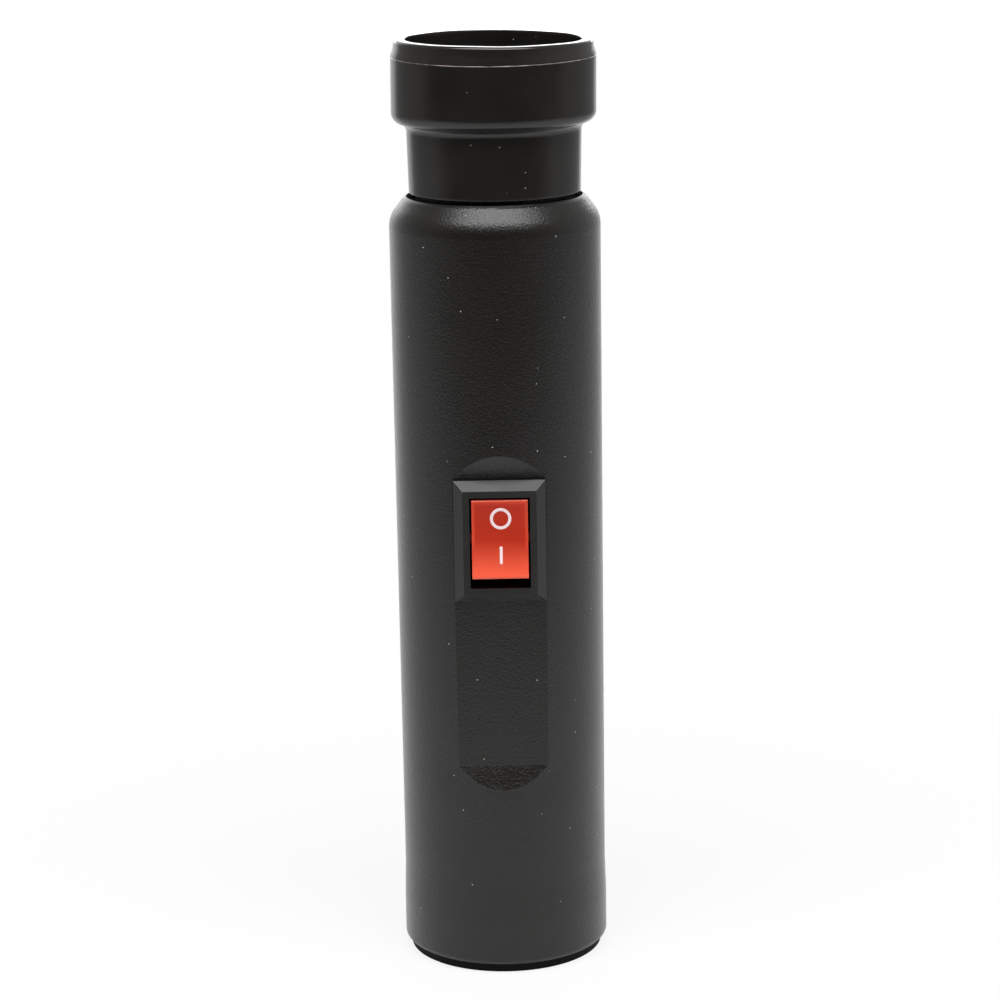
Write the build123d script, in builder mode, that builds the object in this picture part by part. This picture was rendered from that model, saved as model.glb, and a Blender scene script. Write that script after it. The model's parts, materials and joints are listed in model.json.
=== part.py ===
from build123d import *
import math
import os

os.makedirs("parts", exist_ok=True)

# A hand-held egg candler with three AA cells, in millimetres.
# The origin is the centre of the base, +Z runs up the tube and the switch faces -Y.

# Housing: a moulded tube with a rounded shoulder
tube_radius = 17.5
tube_wall = 1.75
tube_draft = 0.143
rim_height = 155.8
rim_above_shoulder = 30.9
shoulder_round = 5.0
shoulder_slope = 38.0
shoulder_inset = 2.9
lip_round = 1.5
lip_end_angle = 70.0
foot_inset = 0.1
foot_round = 1.0
foot_band_top = 9.0
foot_blend_top = 15.0
web_below_shoulder = 12.9
web_thickness = 2.5
web_ledge = 2.0
weld = 0.3
cut_margin = 1.0

# Flat pad on the front, with a ramp at each end
pad_inset = 1.9
pad_below_switch = 38.7
pad_above_switch = 10.4
ramp_angle = 24.0
panel_thickness = 1.6
inner_pad_margin = 6.0

# Ribs, screw bosses and running gaps
rib_bottom = 5.1
rib_depth = 4.75
rib_thickness = 1.2
rib_channel = 4.8
strip_angle = 30.0
key_angle = 150.0
boss_inset = 2.95
boss_radius = 2.5
boss_height = 7.0
pilot_radius = 0.95
pilot_depth = 6.0
slip_gap = 0.3
turn_gap = 0.05

# Screw cap: a flange below the housing and a threaded plug inside it
cap_reveal = 1.5
flange_inset = 1.1
flange_round = 0.4
cap_floor = 2.5
plug_top = 5.0
plug_gap = 0.2
plug_wall = 2.0
hub_radius = 3.6
coin_slot_inner = 3.0
coin_slot_outer = 10.0
coin_slot_width = 2.2
coin_slot_depth = 1.2

# Contact boards, sheet contacts and springs
board_thickness = 1.2
board_gap = 0.35
sheet = 0.4
contact_height = 3.0
contact_arm = 3.0
contact_pad_radius = 3.6
hat_radius = 3.0
hat_taper = 18.0
spring_radius = 2.6
spring_wire = 0.25
spring_turns = 2.4
strip_width = 4.4
strip_rise = 5.0
strip_gap = 0.2
tab_height = 3.6
tab_x = -4.5
tab_y = 1.0

# Cells: AA, side by side in a triangle that fills the bore
cell_length = 50.5
cell_gap = 0.3
cell_wall_gap = 0.28
nub_radius = 2.75
nub_height = 1.0
can_round = 0.6
back_cell_angle = 90.0
left_cell_angle = 210.0
right_cell_angle = 330.0

# Screws
screw_head_radius = 1.9
screw_head_height = 1.3
pivot_shoulder_radius = 1.5
pivot_head_radius = 2.6
pivot_head_height = 1.0
pivot_thread_radius = 1.0
pivot_thread_length = 3.0

# Rocker switch: bezel, frame and window
switch_board_gap = 1.0
bezel_width = 15.1
bezel_length = 20.4
bezel_rise = 2.1
bevel_run = 1.5
bevel_drop = 1.6
frame_width = 12.8
frame_length = 18.8
cutout_gap = 0.1
frame_depth = 12.7
frame_floor = 1.7
window_width = 9.9
window_length = 15.2
clip_reach = 0.7
clip_length = 3.6
clip_width = 5.0
clip_slit = 0.6
clip_slit_length = 9.0

# Rocker, seen from its pivot
pivot_depth = 4.27
rocker_throw = 20.0
rocker_width = 9.2
rocker_reach = 5.47
rocker_half_length = 6.45
rocker_skirt_half = 6.9
rocker_skirt_depth = 0.5
rocker_edge_round = 0.4
rocker_wall = 1.2
pivot_pin_radius = 1.0
pivot_pin_length = 1.05
cheek_radius = 2.0
barrel_radius = 1.8
barrel_bore = 1.15
barrel_end = 3.4
barrel_floor = 3.4
plunger_radius = 1.05
plunger_tip = 6.5
plunger_collar = 1.6
plunger_stem_radius = 0.45
plunger_stem_length = 1.8
detent_spring_radius = 0.75
detent_spring_wire = 0.18
detent_spring_turns = 4.5

# Contact lever and the two blades
lever_depth = 7.2
lever_tilt = 8.0
lever_thickness = 0.5
lever_half_length = 5.0
lever_width = 3.4
lever_contact_offset = 4.3
lever_contact_radius = 0.9
lever_contact_height = 0.35
blade_width = 4.8
blade_thickness = 0.8
blade_length = 7.5
blade_hole_radius = 0.9
blade_hole_inset = 1.3
blade_corner = 1.0
blade_ear = 0.5
ear_height = 0.9
load_blade_offset = 6.4
load_pad_height = 0.6
load_pad_length = 3.4

# Lamp unit: tube, heat sink, board, light source, reflector and lens
lamp_flange_gap = 0.2
lamp_flange_width = 1.4
lamp_flange_thickness = 2.0
lamp_wall = 1.2
lamp_below_rim = 12.8
lens_pocket_depth = 2.8
lens_pocket_wall = 0.9
lens_seat_thickness = 1.2
lens_seat_width = 1.1
lens_edge = 1.2
lens_crown = 1.6
lens_ring_width = 0.9
snap_ring_thickness = 1.2
snap_ring_gap = 0.4
snap_groove_depth = 0.6
snap_ring_opening = 36.0
sink_disc_thickness = 2.0
sink_slug_gap = 0.1
sink_slug_height = 7.5
sink_core_radius = 5.0
sink_fin_gap = 0.4
sink_fin_length = 10.5
sink_fin_thickness = 1.2
sink_fins = 8
lamp_board_gap = 1.3
lamp_board_thickness = 1.6
lamp_screw_inset = 3.0
emitter_gap = 0.57
emitter_height = 1.0
dome_radius = 1.7
focus_above_board = 1.6
reflector_rim_width = 0.6
reflector_wall = 0.8
reflector_clearance = 0.1
reflector_rim_thickness = 0.8
reflector_steps = 6

# Rubber cup on its neck
cup_wall = 2.35
cup_depth = 9.8
cup_floor_drop = 2.0
cup_swell = 2.45
cup_swell_radius = 2.2
cup_cove_radius = 1.4
cove_below_rim = 15.0
rim_taper = 0.5
rim_taper_height = 2.9
rim_round = 0.5
neck_below_rim = 25.4
neck_gap = 0.4
neck_flare = 0.2
neck_edge_round = 0.35

# Wires and the series resistor
wire_radius = 0.6
wire_hole_radius = 0.75
wire_inset = 1.3
resistor_below_web = 15.0
resistor_length = 6.0
resistor_radius = 1.6
resistor_waist = 1.35
resistor_cap_length = 1.5
lead_radius = 0.4
lead_length = 1.5
bend_share = 0.45
tab_wire_start = 1.0
tab_wire_rise = 3.2
blade_wire_run = 3.4
resistor_wire_run = 4.2
return_wire_bend = 16.0
return_wire_straight = 34.0

# Radii that follow from the tube's
bore_radius = tube_radius - tube_wall
opening_radius = tube_radius - shoulder_inset
foot_radius = tube_radius - foot_inset
flange_radius = tube_radius - flange_inset
pad_depth = tube_radius - pad_inset
web_hole_radius = opening_radius - web_ledge
rib_inner_radius = bore_radius - rib_depth
boss_offset = bore_radius - boss_inset
cell_radius = (bore_radius - cell_wall_gap - cell_gap / math.sqrt(3)) / (1 + 2 / math.sqrt(3))
cell_spacing = 2 * cell_radius + cell_gap
cell_ring = cell_spacing / math.sqrt(3)
lamp_flange_radius = opening_radius - lamp_flange_gap
lamp_tube_radius = lamp_flange_radius - lamp_flange_width
lamp_bore_radius = lamp_tube_radius - lamp_wall
lens_pocket_radius = lamp_tube_radius - lens_pocket_wall
lens_seat_radius = lens_pocket_radius - lens_seat_width
lens_ring_inner = lens_pocket_radius - lens_ring_width
snap_ring_inner = lamp_tube_radius + snap_ring_gap
sink_slug_radius = lamp_bore_radius - sink_slug_gap
sink_fin_radius = web_hole_radius - sink_fin_gap
lamp_board_radius = lamp_bore_radius - lamp_board_gap
lamp_screw_offset = lamp_board_radius - lamp_screw_inset
reflector_rim_radius = lamp_bore_radius - reflector_rim_width
wire_offset = (lamp_board_radius - wire_inset) / math.sqrt(2)
neck_bottom_radius = opening_radius - neck_gap
neck_top_radius = neck_bottom_radius + neck_flare
cup_radius = neck_top_radius + cup_swell
cup_hole_radius = cup_radius - cup_wall

# Levels that follow from the rim's height
shoulder_start = rim_height - rim_above_shoulder
web_bottom = shoulder_start - web_below_shoulder
resistor_bottom = web_bottom - resistor_below_web
lamp_tube_top = rim_height - lamp_below_rim
lens_seat_height = lamp_tube_top - lens_pocket_depth
cup_floor_top = rim_height - cup_depth
cup_floor = cup_floor_top - cup_floor_drop
cup_cove_bottom = rim_height - cove_below_rim
rim_taper_start = rim_height - rim_taper_height
neck_bottom = rim_height - neck_below_rim


def radius_at(height):
    """Outer radius of the drafted tube at a height."""
    return tube_radius - (shoulder_start - height) * math.tan(math.radians(tube_draft))


def polar(radius, angle, height=0.0):
    """Point at a radius and an angle in degrees about the tube's axis."""
    turn = math.radians(angle)
    return (radius * math.cos(turn), radius * math.sin(turn), height)


def bend_radii(points):
    """One bend radius for each inner point of a wire's route, as large as its two runs allow."""
    corners = [Vector(point) for point in points]
    radii = []
    for before, here, after in zip(corners, corners[1:], corners[2:]):
        arriving = here - before
        leaving = after - here
        half_turn = math.radians(arriving.get_angle(leaving)) / 2
        shorter = min(arriving.length, leaving.length)
        radii.append(bend_share * shorter / math.tan(half_turn))
    return radii


# Levels that follow from the stack of pieces
lower_board_bottom = plug_top
lower_board_top = lower_board_bottom + board_thickness
cell_bottom = lower_board_top + contact_height
cell_top = cell_bottom + cell_length
upper_board_bottom = cell_top + contact_height
upper_board_top = upper_board_bottom + board_thickness
rib_top = upper_board_bottom - slip_gap
switch_height = upper_board_top + switch_board_gap + clip_reach + frame_length / 2
pad_bottom = switch_height - pad_below_switch
pad_top = switch_height + pad_above_switch
board_radius = bore_radius - board_gap
inner_pad_depth = pad_depth - panel_thickness
web_top = web_bottom + web_thickness
lamp_flange_bottom = web_top + sink_disc_thickness
lamp_flange_top = lamp_flange_bottom + lamp_flange_thickness
sink_slug_top = lamp_flange_bottom + sink_slug_height
lamp_board_top = sink_slug_top + lamp_board_thickness

# Housing
shoulder_centre = tube_radius - shoulder_round
slope_turn = math.radians(shoulder_slope)
lip_centre = opening_radius - lip_round * math.cos(math.radians(lip_end_angle))
slope_end = lip_centre + lip_round * math.cos(slope_turn)
ramp_run = math.tan(math.radians(ramp_angle))
ramp_end = tube_radius + cut_margin
ramp_reach = (ramp_end - pad_depth) / ramp_run
rib_length = bore_radius + weld - rib_inner_radius
rib_middle = rib_inner_radius + rib_length / 2
rib_offset = (rib_channel + rib_thickness) / 2

with BuildPart() as housing:
    with BuildSketch(Plane.XZ):
        with BuildLine():
            foot = Line((bore_radius, cap_reveal), (foot_radius - foot_round, cap_reveal))
            foot_corner = CenterArc(
                (foot_radius - foot_round, cap_reveal + foot_round), foot_round, -90, 90
            )
            band = Line(foot_corner @ 1, (foot_radius, foot_band_top))
            blend = Line(band @ 1, (radius_at(foot_blend_top), foot_blend_top))
            side = Line(blend @ 1, (tube_radius, shoulder_start))
            shoulder = CenterArc((shoulder_centre, shoulder_start), shoulder_round, 0, shoulder_slope)
            slope_rise = ((shoulder @ 1).X - slope_end) / math.tan(slope_turn)
            slope = Line(shoulder @ 1, (slope_end, (shoulder @ 1).Y + slope_rise))
            lip = CenterArc(
                (lip_centre, (slope @ 1).Y - lip_round * math.sin(slope_turn)),
                lip_round,
                shoulder_slope,
                lip_end_angle - shoulder_slope,
            )
            Polyline(
                lip @ 1,
                (opening_radius, web_top),
                (web_hole_radius, web_top),
                (web_hole_radius, web_bottom),
                (bore_radius, web_bottom),
                foot @ 0,
            )
        make_face()
    revolve(axis=Axis.Z)
    # Wall behind the pad, made thick enough to hold the switch
    with BuildSketch(Plane.XY.offset(pad_bottom - inner_pad_margin)):
        Circle(bore_radius + weld)
        with Locations((0, tube_radius - inner_pad_depth)):
            Rectangle(2 * tube_radius, 2 * tube_radius, mode=Mode.SUBTRACT)
    extrude(amount=pad_top - pad_bottom + 2 * inner_pad_margin)
    # Flat pad with its ramps
    with BuildSketch(Plane.YZ):
        with BuildLine():
            Polyline(
                (-pad_depth, pad_bottom),
                (-pad_depth, pad_top),
                (-ramp_end, pad_top + ramp_reach),
                (-ramp_end, pad_bottom - ramp_reach),
                close=True,
            )
        make_face()
    extrude(amount=tube_radius, both=True, mode=Mode.SUBTRACT)
    # Cut-out that the switch snaps into
    with BuildSketch(Plane.XZ.offset(inner_pad_depth - cut_margin)):
        with Locations((0, switch_height)):
            Rectangle(frame_width + 2 * cutout_gap, frame_length + 2 * cutout_gap)
    extrude(amount=panel_thickness + 2 * cut_margin, mode=Mode.SUBTRACT)
    # Ribs that stand in the gaps between the cells
    with BuildSketch(Plane.XY.offset(rib_bottom)):
        with PolarLocations(rib_middle, 1, start_angle=strip_angle):
            with Locations((0, rib_offset), (0, -rib_offset)):
                Rectangle(rib_length, rib_thickness)
        with PolarLocations(rib_middle, 1, start_angle=key_angle):
            Rectangle(rib_length, rib_thickness)
    extrude(amount=rib_top - rib_bottom)
    # Bosses for the upper contact board
    with BuildSketch(Plane.XY.offset(upper_board_top)):
        with Locations((boss_offset, 0), (-boss_offset, 0)):
            Circle(boss_radius)
        with Locations((boss_offset, 0)):
            Rectangle(bore_radius + weld - boss_offset, 2 * boss_radius, align=(Align.MIN, Align.CENTER))
        with Locations((-boss_offset, 0)):
            Rectangle(bore_radius + weld - boss_offset, 2 * boss_radius, align=(Align.MAX, Align.CENTER))
    extrude(amount=boss_height)
    with BuildSketch(Plane.XY.offset(upper_board_top)):
        with Locations((boss_offset, 0), (-boss_offset, 0)):
            Circle(pilot_radius)
    extrude(amount=pilot_depth, mode=Mode.SUBTRACT)
    # Groove for the snap ring, above the lamp tube's flange
    with BuildSketch(Plane.XY.offset(lamp_flange_top)):
        Circle(opening_radius + snap_groove_depth)
    extrude(amount=snap_ring_thickness, mode=Mode.SUBTRACT)

# Screw cap with its coin slot, in two halves beside the hub
with BuildPart() as base_cap:
    with BuildSketch(Plane.XZ):
        with BuildLine():
            Polyline(
                (0, 0),
                (flange_radius, 0),
                (flange_radius, cap_reveal),
                (bore_radius - plug_gap, cap_reveal),
                (bore_radius - plug_gap, plug_top),
                (bore_radius - plug_gap - plug_wall, plug_top),
                (bore_radius - plug_gap - plug_wall, cap_floor),
                (hub_radius, cap_floor),
                (hub_radius, plug_top),
                (0, plug_top),
                close=True,
            )
        make_face()
    revolve(axis=Axis.Z)
    fillet(base_cap.edges().group_by(Axis.Z)[0].sort_by(SortBy.LENGTH)[-1], flange_round)
    with BuildSketch():
        for side in (-1, 1):
            with Locations((side * (coin_slot_inner + coin_slot_outer) / 2, 0)):
                Rectangle(coin_slot_outer - coin_slot_inner, coin_slot_width)
    extrude(amount=coin_slot_depth, mode=Mode.SUBTRACT)
    with BuildSketch(Plane.XY.offset(plug_top)):
        Circle(pivot_thread_radius)
    extrude(amount=-pivot_thread_length, mode=Mode.SUBTRACT)

# Shouldered screw on which the contact board stays still while the cap turns
with BuildPart() as pivot_screw:
    with BuildSketch(Plane.XY.offset(plug_top - pivot_thread_length)):
        Circle(pivot_thread_radius)
    extrude(amount=pivot_thread_length)
    with BuildSketch(Plane.XY.offset(plug_top)):
        Circle(pivot_shoulder_radius)
    extrude(amount=board_thickness + turn_gap)
    with BuildSketch(Plane.XY.offset(lower_board_top + turn_gap)):
        Circle(pivot_head_radius)
    extrude(amount=pivot_head_height)

# Lower contact board, keyed to the ribs
with BuildPart() as lower_board:
    with BuildSketch(Plane.XY.offset(lower_board_bottom)):
        Circle(board_radius)
        Circle(pivot_shoulder_radius + turn_gap, mode=Mode.SUBTRACT)
        with PolarLocations(rib_middle, 1, start_angle=strip_angle):
            with Locations((0, rib_offset), (0, -rib_offset)):
                Rectangle(rib_length + 2 * slip_gap, rib_thickness + 2 * slip_gap, mode=Mode.SUBTRACT)
        with PolarLocations(rib_middle, 1, start_angle=key_angle):
            Rectangle(rib_length + 2 * slip_gap, rib_thickness + 2 * slip_gap, mode=Mode.SUBTRACT)
    extrude(amount=board_thickness)

strip_outer = math.sqrt(bore_radius**2 - (strip_width / 2) ** 2) - turn_gap
strip_inner = strip_outer - sheet
tab_outer = strip_inner - turn_gap

# Link under the cells: spring foot of the left cell to the pad of the back cell
with BuildPart() as lower_link:
    with BuildSketch(Plane.XY.offset(lower_board_top)):
        with BuildLine(mode=Mode.PRIVATE):
            lower_link_arc = CenterArc(
                (0, 0), cell_ring, back_cell_angle, left_cell_angle - back_cell_angle
            )
        SlotArc(lower_link_arc, contact_arm)
        with Locations(polar(cell_ring, back_cell_angle), polar(cell_ring, left_cell_angle)):
            Circle(contact_pad_radius)
    extrude(amount=sheet)
    with BuildSketch(Plane.XY.offset(lower_board_top + sheet)):
        with Locations(polar(cell_ring, back_cell_angle)):
            Circle(hat_radius)
    extrude(amount=contact_height - sheet, taper=hat_taper)

# Plate under the right cell, with an arm and a tab that wipes the return strip
with BuildPart() as lower_negative:
    with BuildSketch(Plane.XY.offset(lower_board_top)):
        with BuildLine(mode=Mode.PRIVATE):
            lower_negative_arc = CenterArc(
                (0, 0), cell_ring, right_cell_angle, strip_angle + 360 - right_cell_angle
            )
        SlotArc(lower_negative_arc, contact_arm)
        with Locations(polar(cell_ring, right_cell_angle)):
            Circle(contact_pad_radius)
        with PolarLocations((cell_ring + tab_outer) / 2, 1, start_angle=strip_angle):
            Rectangle(tab_outer - cell_ring, contact_arm)
    extrude(amount=sheet)
    with BuildSketch(Plane.XY.offset(lower_board_top)):
        with PolarLocations(tab_outer - sheet / 2, 1, start_angle=strip_angle):
            Rectangle(sheet, contact_arm)
    extrude(amount=tab_height)

# Brass strip up the channel between two ribs, from the lower board to the wires
with BuildPart() as return_strip:
    with BuildSketch(Plane.XY.offset(lower_board_top + strip_gap)):
        with PolarLocations((strip_outer + strip_inner) / 2, 1, start_angle=strip_angle):
            Rectangle(sheet, strip_width)
    extrude(amount=upper_board_top + strip_rise - lower_board_top - strip_gap)


def coil(bottom, top, radius, wire, turns):
    """Round wire on a helix between two levels."""
    with BuildPart() as spring:
        with BuildLine() as path:
            Helix((top - bottom) / turns, top - bottom, radius, center=(0, 0, bottom))
        with BuildSketch(Plane(origin=path.line @ 0, z_dir=path.line % 0)):
            Circle(wire)
        sweep(is_frenet=True)
    return spring.part


# Springs under the left and right cells
lower_spring_shape = coil(
    lower_board_top + sheet + spring_wire,
    cell_bottom - spring_wire - turn_gap,
    spring_radius,
    spring_wire,
    spring_turns,
)
with BuildPart() as lower_springs:
    with Locations(polar(cell_ring, left_cell_angle), polar(cell_ring, right_cell_angle)):
        add(lower_spring_shape)

# Spring above the back cell, whose flat end is up
upper_spring_shape = coil(
    cell_top + spring_wire + turn_gap,
    upper_board_bottom - sheet - spring_wire,
    spring_radius,
    spring_wire,
    spring_turns,
)
with BuildPart() as upper_spring:
    with Locations(polar(cell_ring, back_cell_angle)):
        add(upper_spring_shape)


def battery_cell(angle, nub_up):
    """One cell, revolved about its own axis, with the nub at its top or its bottom."""
    if nub_up:
        foot_height = cell_bottom
        facing = (0, -1, 0)
    else:
        foot_height = cell_top
        facing = (0, 1, 0)
    place = Plane(origin=polar(cell_ring, angle, foot_height), x_dir=(1, 0, 0), z_dir=facing)
    can_top = cell_length - nub_height
    with BuildPart() as cell:
        with BuildSketch(place):
            with BuildLine():
                FilletPolyline(
                    (0, 0),
                    (cell_radius, 0),
                    (cell_radius, can_top),
                    (nub_radius, can_top),
                    (nub_radius, cell_length),
                    (0, cell_length),
                    radius=[can_round, can_round, 0, can_round],
                )
                Line((0, cell_length), (0, 0))
            make_face()
        revolve(axis=Axis(place.origin, (0, 0, 1)))
    return cell


battery_cell_1 = battery_cell(left_cell_angle, True)
battery_cell_2 = battery_cell(back_cell_angle, False)
battery_cell_3 = battery_cell(right_cell_angle, True)

# Upper contact board, notched for the ribs, the strip and the soldered tab
with BuildPart() as upper_board:
    with BuildSketch(Plane.XY.offset(upper_board_bottom)):
        Circle(board_radius)
        with Locations((0, -inner_pad_depth + board_gap)):
            Rectangle(
                2 * board_radius, board_radius, align=(Align.CENTER, Align.MAX), mode=Mode.SUBTRACT
            )
        with PolarLocations(rib_middle, 1, start_angle=strip_angle):
            Rectangle(
                rib_length + 2 * slip_gap,
                rib_channel + 2 * rib_thickness + 2 * slip_gap,
                mode=Mode.SUBTRACT,
            )
        with PolarLocations(rib_middle, 1, start_angle=key_angle):
            Rectangle(rib_length + 2 * slip_gap, rib_thickness + 2 * slip_gap, mode=Mode.SUBTRACT)
        with Locations((boss_offset, 0), (-boss_offset, 0)):
            Circle(pilot_radius, mode=Mode.SUBTRACT)
        with Locations((tab_x, tab_y)):
            Rectangle(contact_arm + 2 * turn_gap, sheet + 2 * turn_gap, mode=Mode.SUBTRACT)
    extrude(amount=board_thickness)

# Screws that hold the upper board to the bosses
with BuildPart() as upper_board_screws:
    with BuildSketch(Plane.XY.offset(upper_board_bottom - screw_head_height)):
        with Locations((boss_offset, 0), (-boss_offset, 0)):
            Circle(screw_head_radius)
    extrude(amount=screw_head_height)
    with BuildSketch(Plane.XY.offset(upper_board_bottom)):
        with Locations((boss_offset, 0), (-boss_offset, 0)):
            Circle(pilot_radius)
    extrude(amount=board_thickness + pilot_depth - slip_gap)

# Link above the cells: spring of the back cell to the pad of the right cell
with BuildPart() as upper_link:
    with BuildSketch(Plane.XY.offset(upper_board_bottom - sheet)):
        with BuildLine(mode=Mode.PRIVATE):
            upper_link_arc = CenterArc(
                (0, 0), cell_ring, right_cell_angle, back_cell_angle + 360 - right_cell_angle
            )
        SlotArc(upper_link_arc, contact_arm)
        with Locations(polar(cell_ring, back_cell_angle), polar(cell_ring, right_cell_angle)):
            Circle(contact_pad_radius)
    extrude(amount=sheet)
    with BuildSketch(Plane.XY.offset(upper_board_bottom - sheet)):
        with Locations(polar(cell_ring, right_cell_angle)):
            Circle(hat_radius)
    extrude(amount=-(contact_height - sheet), taper=hat_taper)

# Contact above the left cell, with a tab up through the board
with BuildPart() as upper_positive:
    with BuildSketch(Plane.XY.offset(upper_board_bottom - sheet)):
        with Locations(polar(cell_ring, left_cell_angle)):
            Circle(contact_pad_radius)
        with BuildLine(mode=Mode.PRIVATE):
            tab_route = Line(polar(cell_ring, left_cell_angle), (tab_x, tab_y))
        SlotArc(tab_route, contact_arm)
    extrude(amount=sheet)
    with BuildSketch(Plane.XY.offset(upper_board_bottom - sheet)):
        with Locations(polar(cell_ring, left_cell_angle)):
            Circle(hat_radius)
    extrude(amount=-(contact_height - sheet), taper=hat_taper)
    with BuildSketch(Plane.XY.offset(upper_board_bottom - sheet)):
        with Locations((tab_x, tab_y)):
            Rectangle(contact_arm, sheet)
    extrude(amount=sheet + board_thickness + tab_height)

# Switch frame: bevelled bezel, box, window, blade slots and snap clips
plateau_depth = pad_depth + bezel_rise
frame_back = -(pad_depth - frame_depth)
floor_face = frame_back - frame_floor
pivot_y = -(plateau_depth - pivot_depth)
lever_y = pivot_y + lever_depth
load_blade_height = switch_height + load_blade_offset
panel_back = -(inner_pad_depth - slip_gap / 2)

with BuildPart() as switch_body:
    with BuildSketch(Plane.XZ.offset(pad_depth)):
        with Locations((0, switch_height)):
            Rectangle(bezel_width, bezel_length)
    extrude(amount=bezel_rise)
    chamfer(
        switch_body.faces().sort_by(Axis.Y)[0].edges(),
        length=bevel_run,
        length2=bevel_drop,
        reference=switch_body.faces().sort_by(Axis.Y)[0],
    )
    with BuildSketch(Plane.XZ.offset(pad_depth)):
        with Locations((0, switch_height)):
            Rectangle(frame_width, frame_length)
    extrude(amount=-frame_depth)
    with BuildSketch(Plane.XZ.offset(plateau_depth)):
        with Locations((0, switch_height)):
            Rectangle(window_width, window_length)
    extrude(amount=-(plateau_depth + floor_face), mode=Mode.SUBTRACT)
    # Snap clips above and below, each freed by two slits
    with BuildSketch(Plane.YZ):
        for side in (-1, 1):
            with BuildLine():
                wall = switch_height + side * (frame_length / 2 - weld)
                Polyline(
                    (panel_back, wall),
                    (panel_back, wall + side * (clip_reach + weld)),
                    (panel_back + clip_length, wall),
                    close=True,
                )
            make_face()
    extrude(amount=clip_width / 2, both=True)
    with BuildSketch(Plane.XZ.offset(-panel_back)):
        for side in (-1, 1):
            for edge in (-1, 1):
                slit_x = edge * (clip_width + clip_slit) / 2
                with Locations((slit_x, switch_height + side * frame_length / 2)):
                    Rectangle(clip_slit, frame_length - window_length)
    extrude(amount=-clip_slit_length, mode=Mode.SUBTRACT)
    # Holes for the rocker's pivots
    with BuildSketch(Plane.YZ):
        with Locations((pivot_y, switch_height)):
            Circle(pivot_pin_radius + turn_gap)
    extrude(amount=frame_width, both=True, mode=Mode.SUBTRACT)
    # Slots for the two blades
    with BuildSketch(Plane.XZ.offset(-frame_back)):
        with Locations((0, switch_height), (0, load_blade_height)):
            Rectangle(blade_width, blade_thickness)
    extrude(amount=frame_floor, mode=Mode.SUBTRACT)

# Rocker, drawn level with its pivot and set down at the off side
off_angle = math.radians(-rocker_throw / 2)
rocker_plane = Plane(
    origin=(0, pivot_y, switch_height),
    x_dir=(0, math.cos(off_angle), math.sin(off_angle)),
    z_dir=(1, 0, 0),
)
inward = rocker_plane.x_dir
face_radius = rocker_half_length / math.sin(-off_angle)
barrel_plane = Plane(origin=rocker_plane.origin, x_dir=(1, 0, 0), z_dir=inward)

with BuildPart() as rocker:
    with BuildSketch(rocker_plane):
        with BuildLine():
            face = RadiusArc(
                (-rocker_reach, -rocker_half_length),
                (-rocker_reach, rocker_half_length),
                -face_radius,
            )
            Polyline(
                face @ 1,
                (rocker_skirt_depth, rocker_skirt_half),
                (rocker_skirt_depth, -rocker_skirt_half),
                face @ 0,
            )
        make_face()
    extrude(amount=rocker_width / 2, both=True)
    face_ends = rocker.edges().filter_by(Axis.X).sort_by_distance(rocker_plane.origin)[-2:]
    fillet(face_ends, rocker_edge_round)
    # Hollow behind the face
    with BuildSketch(rocker_plane):
        with BuildLine():
            hollow_face = RadiusArc(
                (rocker_wall - rocker_reach, -rocker_half_length + rocker_wall),
                (rocker_wall - rocker_reach, rocker_half_length - rocker_wall),
                rocker_wall - face_radius,
            )
            Polyline(
                hollow_face @ 1,
                (rocker_skirt_depth + cut_margin, rocker_skirt_half - rocker_wall),
                (rocker_skirt_depth + cut_margin, -rocker_skirt_half + rocker_wall),
                hollow_face @ 0,
            )
        make_face()
    extrude(amount=rocker_width / 2 - rocker_wall, both=True, mode=Mode.SUBTRACT)
    # Cheeks round the pivots, and the two pivot pins
    with BuildSketch(rocker_plane):
        Circle(cheek_radius)
    extrude(amount=rocker_width / 2, both=True)
    with BuildSketch(rocker_plane):
        Circle(cheek_radius)
    extrude(amount=rocker_width / 2 - rocker_wall, both=True, mode=Mode.SUBTRACT)
    with BuildSketch(rocker_plane):
        Circle(pivot_pin_radius)
    extrude(amount=rocker_width / 2 + pivot_pin_length, both=True)
    with BuildSketch(rocker_plane):
        Circle(pivot_pin_radius)
    extrude(amount=rocker_width / 2 - rocker_wall, both=True, mode=Mode.SUBTRACT)
    # Barrel for the detent spring
    with BuildSketch(barrel_plane.offset(-barrel_floor - rocker_wall)):
        Circle(barrel_radius)
    extrude(amount=barrel_floor + rocker_wall + barrel_end)
    with BuildSketch(barrel_plane.offset(-barrel_floor)):
        Circle(barrel_bore)
    extrude(amount=barrel_floor + barrel_end, mode=Mode.SUBTRACT)

# Plunger with a domed tip and a stem inside the spring
with BuildPart() as plunger:
    with BuildSketch(rocker_plane):
        with BuildLine():
            tip_start = plunger_tip - plunger_radius
            stem_end = plunger_collar - plunger_stem_length
            tip = CenterArc((tip_start, 0), plunger_radius, 0, 90)
            Polyline(
                tip @ 1,
                (plunger_collar, plunger_radius),
                (plunger_collar, plunger_stem_radius),
                (stem_end, plunger_stem_radius),
                (stem_end, 0),
                tip @ 0,
            )
        make_face()
    revolve(axis=Axis(rocker_plane.origin, inward))

# Detent spring between the barrel's floor and the plunger's collar
detent_spring_shape = coil(
    detent_spring_wire - barrel_floor,
    plunger_collar - detent_spring_wire,
    detent_spring_radius,
    detent_spring_wire,
    detent_spring_turns,
)
with BuildPart() as plunger_spring:
    with Locations(barrel_plane):
        add(detent_spring_shape)

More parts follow.
